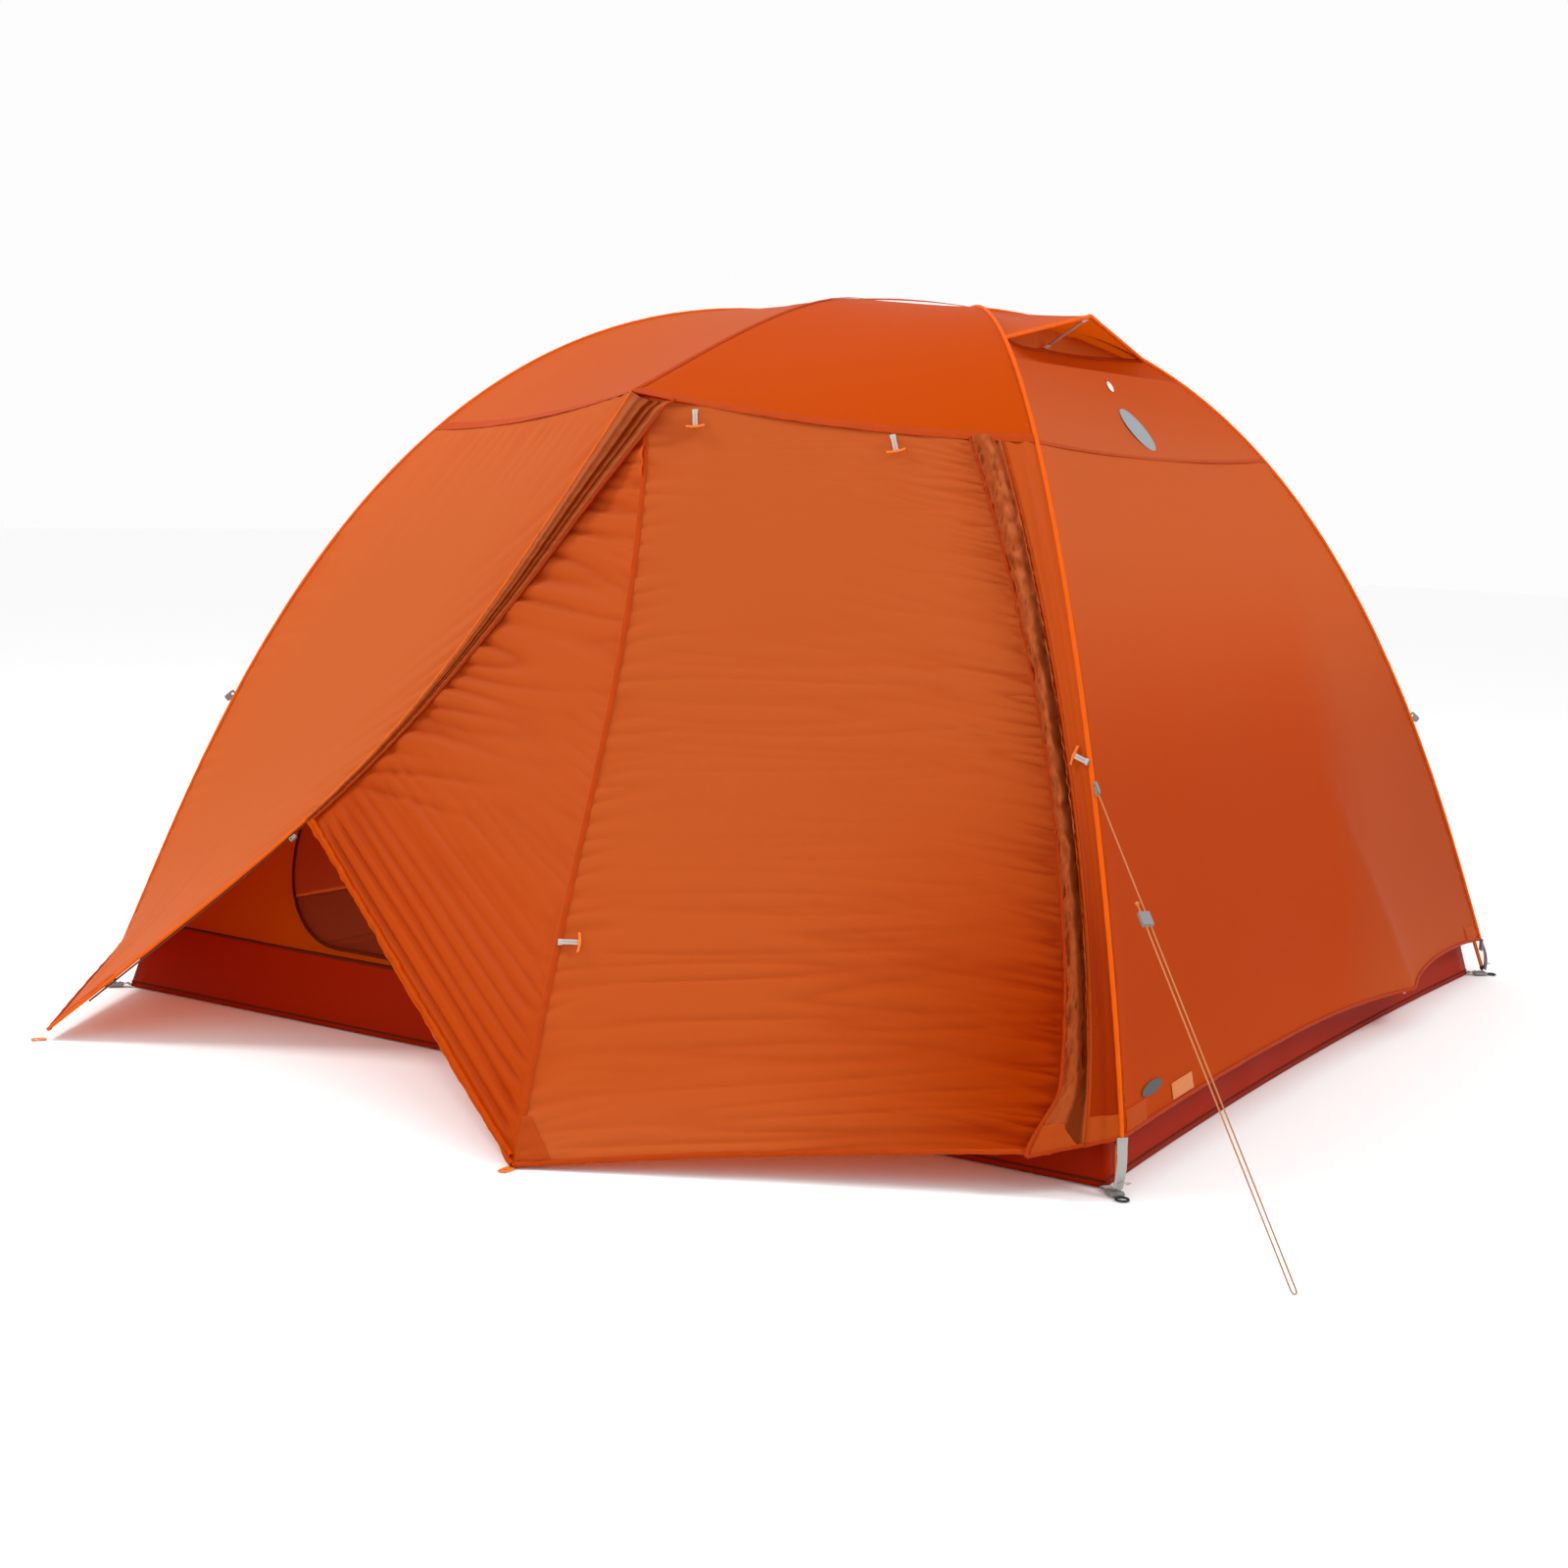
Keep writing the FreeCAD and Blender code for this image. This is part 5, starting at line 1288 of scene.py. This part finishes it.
def corner_bits(end, side, straps, buckles, rings):
    away = turned(outward_way, end, side)
    flat = Vector((-away.y, away.x, 0))
    ring_at = turned(CORNER, end, side) + Vector((0, 0, 0.0022))
    buckle_at = ring_at - away * 0.0305 + Vector((0, 0, 0.0028))
    hem = turned(hem_point, end, side)
    knee = buckle_at + away * 0.012 + Vector((0, 0, 0.010))

    def drop(share):
        bend = away * 0.008 * hump(share)
        return hem.lerp(knee, share) + bend
    add_band(straps, drop, flat, 0.0195, 0.0018, 30)
    add_band(straps, lambda s: hem + Vector((0, 0, -0.008)) + away * 0.0035 + Vector((0, 0, 0.03 * s - 0.02)),
             flat, 0.0205, 0.0022, 6)
    tail = buckle_at + away * 0.004 + Vector((0, 0, 0.007))
    add_band(straps, lambda s: tail.lerp(tail + flat * 0.012 + away * 0.026 + Vector((0, 0, 0.016)), s)
             + Vector((0, 0, 0.006 * hump(s))), flat, 0.012, 0.0014, 10)
    floor_at = turned(Vector((LONG, WIDE, 0.004)), end, side)
    add_band(straps, lambda s: floor_at.lerp(buckle_at - away * 0.019, s) + Vector((0, 0, 0.004 * hump(s))),
             flat, 0.0195, 0.0016, 8)

    cube = bmesh.new()
    bmesh.ops.create_cube(cube, size=1.0)
    bmesh.ops.scale(cube, vec=(0.034, 0.026, 0.0065), verts=cube.verts[:])
    bmesh.ops.bevel(cube, geom=cube.edges[:], offset=0.0022, segments=3, affect="EDGES", profile=0.5,
                    material=-1)
    for x in (-0.0085, 0.0015, 0.0110):
        made = bmesh.ops.create_cube(cube, size=1.0)["verts"]
        bmesh.ops.scale(cube, vec=(0.0030, 0.0245, 0.0085), verts=made)
        bmesh.ops.translate(cube, vec=(x, 0, 0.0006), verts=made)
        edges = {edge for point in made for edge in point.link_edges}
        bmesh.ops.bevel(cube, geom=list(edges), offset=0.0011, segments=2, affect="EDGES", profile=0.5,
                        material=-1)
    turn = Matrix((away, flat, Vector((0, 0, 1)))).transposed().to_4x4()
    bmesh.ops.transform(cube, matrix=Matrix.Translation(buckle_at) @ turn, verts=cube.verts[:])
    bmesh.ops.recalc_face_normals(cube, faces=cube.faces[:])
    spare = bpy.data.meshes.new("spare")
    cube.to_mesh(spare)
    cube.free()
    buckles.from_mesh(spare)
    bpy.data.meshes.remove(spare)

    made = bmesh.ops.create_circle(rings, segments=12, radius=0.0020)["verts"]
    bmesh.ops.rotate(rings, verts=made, cent=(0, 0, 0), matrix=Matrix.Rotation(math.pi / 2, 3, "X"))
    bmesh.ops.translate(rings, verts=made, vec=ring_at + Vector((0.011, 0, 0)))
    edges = list({edge for point in made for edge in point.link_edges})
    bmesh.ops.spin(rings, geom=edges, cent=ring_at, axis=(0, 0, 1), angle=2 * math.pi, steps=36,
                   use_merge=True)


straps, buckles, rings = bmesh.new(), bmesh.new(), bmesh.new()
for end in (RIGHT, LEFT):
    for side in (FRONT, BACK):
        corner_bits(end, side, straps, buckles, rings)
bmesh.ops.recalc_face_normals(rings, faces=rings.faces[:])
finish_piece("corner_webbing", straps, [grey_web], "tent", ["corner_straps", "floor_straps"])
finish_piece("ladder_locks", buckles, [grey_plastic], "tent", ["corner_buckles"])
finish_piece("peg_rings", rings, [black_metal], "tent", ["corner_rings"])
print("buckles stand", round(BUCKLE_TALL * 1000, 1), "mm high in CAD")

# %% [markdown]
# ## Toggles
# A toggle ties back a rolled door: an elastic loop of two strands, stitched at its root, holds a cross bar
# that swells at the middle and curls a little at its ends. The bar is a half profile spun round its axis.

# %% Toggle helper and places
def add_toggle(elastic_mesh, bar_mesh, root, hang, out):
    root = root + out * 0.007
    across = out.cross(hang).normalized()
    tail = root + hang * 0.030
    for offset in (-0.0026, 0.0026):
        add_band(elastic_mesh, lambda s, o=offset: (root - hang * 0.004).lerp(tail, s) + across * o
                 + out * 0.002 * hump(s), across, 0.0046, 0.0016, 12)
    add_band(elastic_mesh, straight(root - hang * 0.006, root + hang * 0.002), across, 0.012, 0.0034, 3)
    middle = tail + hang * 0.0032
    profile = [(0.0, -0.0190), (0.0020, -0.0188), (0.0027, -0.0165), (0.0022, -0.0100), (0.0028, -0.0045),
               (0.0031, 0.0), (0.0028, 0.0045), (0.0022, 0.0100), (0.0027, 0.0165), (0.0020, 0.0188),
               (0.0, 0.0190)]
    half = [bar_mesh.verts.new((radius, 0, height)) for radius, height in profile]
    edges = [bar_mesh.edges.new(pair) for pair in zip(half, half[1:])]
    before = set(bar_mesh.verts) - set(half)
    bmesh.ops.spin(bar_mesh, geom=half + edges, cent=(0, 0, 0), axis=(0, 0, 1), angle=2 * math.pi, steps=14,
                   use_merge=True)
    made = [point for point in bar_mesh.verts if point not in before]
    for point in made:
        point.co.x -= 0.0022 * (abs(point.co.z) / 0.019) ** 2
    turn = Matrix((hang, out, across)).transposed().to_4x4()
    bmesh.ops.transform(bar_mesh, matrix=Matrix.Translation(middle) @ turn, verts=made)
    bmesh.ops.remove_doubles(bar_mesh, verts=made, dist=0.00005)


def cloth_axes(point, beside, below, side):
    down = (below - point).normalized()
    out = down.cross(beside - point).normalized()
    return down, (-out if out.y * side < 0 else out)


strip_elastic, strip_bars = bmesh.new(), bmesh.new()
for side, word in ((FRONT, "front"), (BACK, "back")):
    elastics, bars = bmesh.new(), bmesh.new()
    seam, zip_edge = line_on(CENTRE, 1, side), line_on(SHORT_ZIP, 1, side)
    for share in (0.16, 0.76):
        top, low = [seam(s).lerp(zip_edge(s), share) for s in (0.02, 0.12)]
        down, out = cloth_axes(top, zip_edge(0.05), low, side)
        add_toggle(elastics, bars, top, down, out)
    tie = seam(0.74)
    over = (zip_edge(0.74) - tie).normalized()
    down, out = cloth_axes(tie, zip_edge(0.74), seam(0.84), side)
    add_toggle(elastics, bars, tie + over * 0.012, over, out)
    finish_piece(f"awning_elastics_{word}", elastics, [elastic], f"awning_{word}",
                 [f"awning_toggles_{word}"])
    bmesh.ops.recalc_face_normals(bars, faces=bars.faces[:])
    finish_piece(f"awning_bars_{word}", bars, [orange_plastic], f"awning_{word}")
    flap, leg = flap_line(side), line_on(LEG, RIGHT, side, SEAM_SHARE, HEM_SHARE)
    spot = leg(0.46)
    over = (flap(0.46) - spot).normalized()
    down, out = cloth_axes(spot, flap(0.46), leg(0.6), side)
    add_toggle(strip_elastic, strip_bars, spot + over * 0.004, over, out)
bmesh.ops.recalc_face_normals(strip_bars, faces=strip_bars.faces[:])
finish_piece("strip_elastics", strip_elastic, [elastic], "tent", ["strip_toggles"])
finish_piece("strip_bars", strip_bars, [orange_plastic], "tent")

# %% [markdown]
# ## Badge, label and dot
# The round badge and the sewn label are left blank: a plain felt oval inside a raised merrowed edge, and a
# plain woven label. The dot under the vent is a hook-and-loop pad that the prop's foot can be pressed on.
# Each is a circle, stretched to its size, laid on the wall by the wall's own rule.

# %% Patches
def on_wall(height, y, lift):
    """Place on the right end wall's upper part or lower part, with its outward direction."""
    best = None
    for wall in (upper_wall(RIGHT), lower_wall(RIGHT)):
        across = (y / CORNER.y + 1) / 2
        for _ in range(20):
            low, high = 0.0, 1.0
            for _ in range(18):
                middle = (low + high) / 2
                if wall(across, middle).z > height:
                    low = middle
                else:
                    high = middle
            point = wall(across, low)
            across = min(1, max(0, across + (y - point.y) / 2.4))
        if best is None or abs(point.z - height) < abs(best[0].z - height):
            best = (point, outward(wall, across, min(0.98, max(0.02, low))))
    point, out = best
    return point + out * lift, out


def lay_patch(name, centre, out, half_wide, half_tall, thick, face_finish, edge_finish, stands_for,
              tilt):
    """Oval pad with a raised edge."""
    pad = bmesh.new()
    made = bmesh.ops.create_circle(pad, cap_ends=True, segments=48, radius=1.0)["verts"]
    bmesh.ops.scale(pad, vec=(half_wide, half_tall, 1), verts=made)
    rim_width = 0.15 * half_tall + 0.0006
    bmesh.ops.inset_region(pad, faces=pad.faces[:], thickness=rim_width, depth=thick)
    bmesh.ops.inset_region(pad, faces=[f for f in pad.faces if len(f.verts) > 4], thickness=rim_width,
                           depth=-thick * 0.5)
    rim_faces = [face for face in pad.faces if len(face.verts) <= 4]
    for face in rim_faces:
        face.material_index = 1
    up = Vector((0, 0, 1)) - out * out.z
    up.normalize()
    over = up.cross(out)
    spin = Matrix.Rotation(tilt, 4, "Z")
    turn = Matrix((over, up, out)).transposed().to_4x4()
    bmesh.ops.transform(pad, matrix=Matrix.Translation(centre) @ turn @ spin, verts=pad.verts[:])
    bmesh.ops.recalc_face_normals(pad, faces=pad.faces[:])
    if sum(face.normal.dot(out) for face in pad.faces if len(face.verts) > 4) < 0:
        bmesh.ops.reverse_faces(pad, faces=pad.faces[:])
    return finish_piece(name, pad, [face_finish, edge_finish], "tent", stands_for)


felt = webbing_finish("badge_felt", linear(150, 162, 168), 1800.0)
merrow = webbing_finish("badge_edge", linear(226, 224, 218), 2600.0)
slate = webbing_finish("label_cloth", linear(60, 56, 56), 2400.0)
badge_low, badge_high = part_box("badge_patch")
badge_middle = (badge_low + badge_high) / 2
spot, out = on_wall(badge_middle.z, 0.0, 0.0015)
lay_patch("blank_badge", spot, out, 0.047, 0.060, 0.0022, felt, merrow, ["badge_patch"], 0.0)
dot_low, dot_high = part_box("vent_patch")
spot, out = on_wall((dot_low.z + dot_high.z) / 2, 0.0, 0.0012)
lay_patch("hook_dot", spot, out, 0.013, 0.013, 0.0014, white_plastic, white_plastic,
          ["vent_patch"], 0.0)
label_low, label_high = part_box("care_label")
spot, out = on_wall((label_low.z + label_high.z) / 2, (label_low.y + label_high.y) / 2, 0.0012)
lay_patch("blank_label", spot, out, 0.048, 0.0110, 0.0010, slate, slate, ["care_label"], 0.06)

# %% [markdown]
# ## Reinforcements
# Where a seam ends at a peg or a corner, the real cloth is doubled by a small patch, sewn round its edge.
# Each patch here is a grid laid over part of a panel by the panel's own rule, a little above it.

# %% Patches over the seam ends
def add_patch(mesh, surface, low, high, top_high, lift=0.0022):
    """Four-sided patch: across runs low[0] to high[0] at its foot, and to top_high at its top."""
    def place(across, along):
        a = low[0] + (top_high + (high[0] - top_high) * along - low[0]) * across
        b = low[1] + (high[1] - low[1]) * along
        edge = 1 - 0.6 * (hump(across) * hump(along)) ** 0.25
        return surface(a, b) + outward(surface, min(0.98, max(0.02, a)), min(0.98, b)) * lift * (1.6 - edge)
    # The patches carry painted sheen and painted shade.
    return add_panel(mesh, 16, 16, place, lambda a, b: (0.35, 0.35, 0.6))


doubled = bmesh.new()
for side in (FRONT, BACK):
    add_patch(doubled, strip_panel(side), (0.0, 0.955), (1.0, 0.999), 1.0)
    add_patch(doubled, side_panel(side), (0.90, 0.93), (0.999, 0.999), 0.97)
    add_patch(doubled, short_flap(side), (0.05, 0.962), (0.9, 0.998), 0.5, 0.0035)
for end in (RIGHT, LEFT):
    for low_share, high_share in ((0.01, 0.05), (0.95, 0.99)):
        add_patch(doubled, lower_wall(end), (low_share, 0.955), (high_share, 0.998), high_share)
face_out(doubled, HEART)
finish_piece("corner_patches", doubled, [fly_cloth], "tent")
for side, word in ((FRONT, "front"), (BACK, "back")):
    doubled = bmesh.new()
    add_patch(doubled, awning_panel(side)[0], (0.004, 0.945), (0.07, 0.995), 0.02, 0.0035)
    face_out(doubled, HEART)
    finish_piece(f"peg_patch_{word}", doubled, [fly_cloth], f"awning_{word}")
bright = bmesh.new()
add_patch(bright, lower_wall(RIGHT), (0.105, 0.960), (0.150, 0.992), 0.150, 0.0026)
face_out(bright, HEART)
finish_piece("wall_tab", bright, [orange_web], "tent")

# %% [markdown]
# ## What stays as the CAD made it
# Poles, sleeves, hubs, tips, locks, peg loops, sliders, hooks and zip coils already have their true shape, so
# they only need a finish. The mesh itself is left alone.

# %% Finishes for the CAD's own nodes
for material, names in (
        (pole_metal, ("ridge_pole", "cross_pole", "leg_pole_front_right", "leg_pole_front_left",
                      "leg_pole_back_right", "leg_pole_back_left")),
        (bright_metal, ("pole_ferrules",)), (black_metal, ("pole_tips",)),
        (grey_plastic, ("pole_hubs", "cross_pole_clip", "canopy_clips", "guy_locks", "guyline_tensioner",
                        "zip_slider_front", "zip_slider_back")),
        (white_plastic, ("hem_hooks", "shock_cords")),
        (orange_plastic, ("stake_loop_front", "stake_loop_back", "side_stake_loops")),
        (hard_finish("zip_coil_plastic", linear(96, 40, 16), 0.5, 0.0, 1500.0, 0.0006), ("zip_coils",))):
    for name in names:
        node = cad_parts[name]
        node.data.materials.clear()
        node.data.materials.append(material)
        for face in node.data.polygons:
            face.material_index = 0
print("CAD nodes finished")

# %% [markdown]
# ## Floor and light
# A plain, nearly white floor and soft light from all round, with three lamps: a strong one high on the left,
# one on the right that lights the end wall, whose chalky sheen is painted into the cloth's colour, and a weak
# one from the front.

# %% Studio
ground = bmesh.new()
bmesh.ops.create_grid(ground, x_segments=1, y_segments=1, size=30)
for point in ground.verts:
    point.co.z = -0.001
studio = start_finish("studio_floor", 0.9)[0]
studio.node_tree.nodes["Principled BSDF"].inputs["Base Color"].default_value = (0.97, 0.97, 0.97, 1)
floor_data = bpy.data.meshes.new("studio_floor")
ground.to_mesh(floor_data)
floor_data.materials.append(studio)
floor_object = bpy.data.objects.new("studio_floor", floor_data)
bpy.context.scene.collection.objects.link(floor_object)
world = bpy.data.worlds.new("studio_air")
bpy.context.scene.world = world
world.use_nodes = True
world.node_tree.nodes["Background"].inputs["Color"].default_value = (1.0, 1.0, 1.0, 1)
world.node_tree.nodes["Background"].inputs["Strength"].default_value = 0.98


def soft_lamp(name, place, aim, size, watts):
    data = bpy.data.lights.new(name, "AREA")
    data.shape, data.size, data.size_y, data.energy = "RECTANGLE", size[0], size[1], watts
    lamp = bpy.data.objects.new(name, data)
    bpy.context.scene.collection.objects.link(lamp)
    toward = (Vector(aim) - Vector(place)).normalized()
    lamp.matrix_world = Matrix.Translation(place) @ toward.to_track_quat("-Z", "Y").to_matrix().to_4x4()
    return lamp


soft_lamp("high_left", (-3.2, -2.2, 4.6), (-0.4, -0.5, 0.7), (1.4, 1.4), 150)
soft_lamp("right_side", (4.6, 0.4, 4.2), (0.9, 0, 1.0), (1.6, 1.6), 95)
soft_lamp("front", (1.2, -6.5, 1.6), (0.2, -0.5, 0.7), (3, 2), 20)
bpy.context.scene.view_settings.view_transform = "Standard"
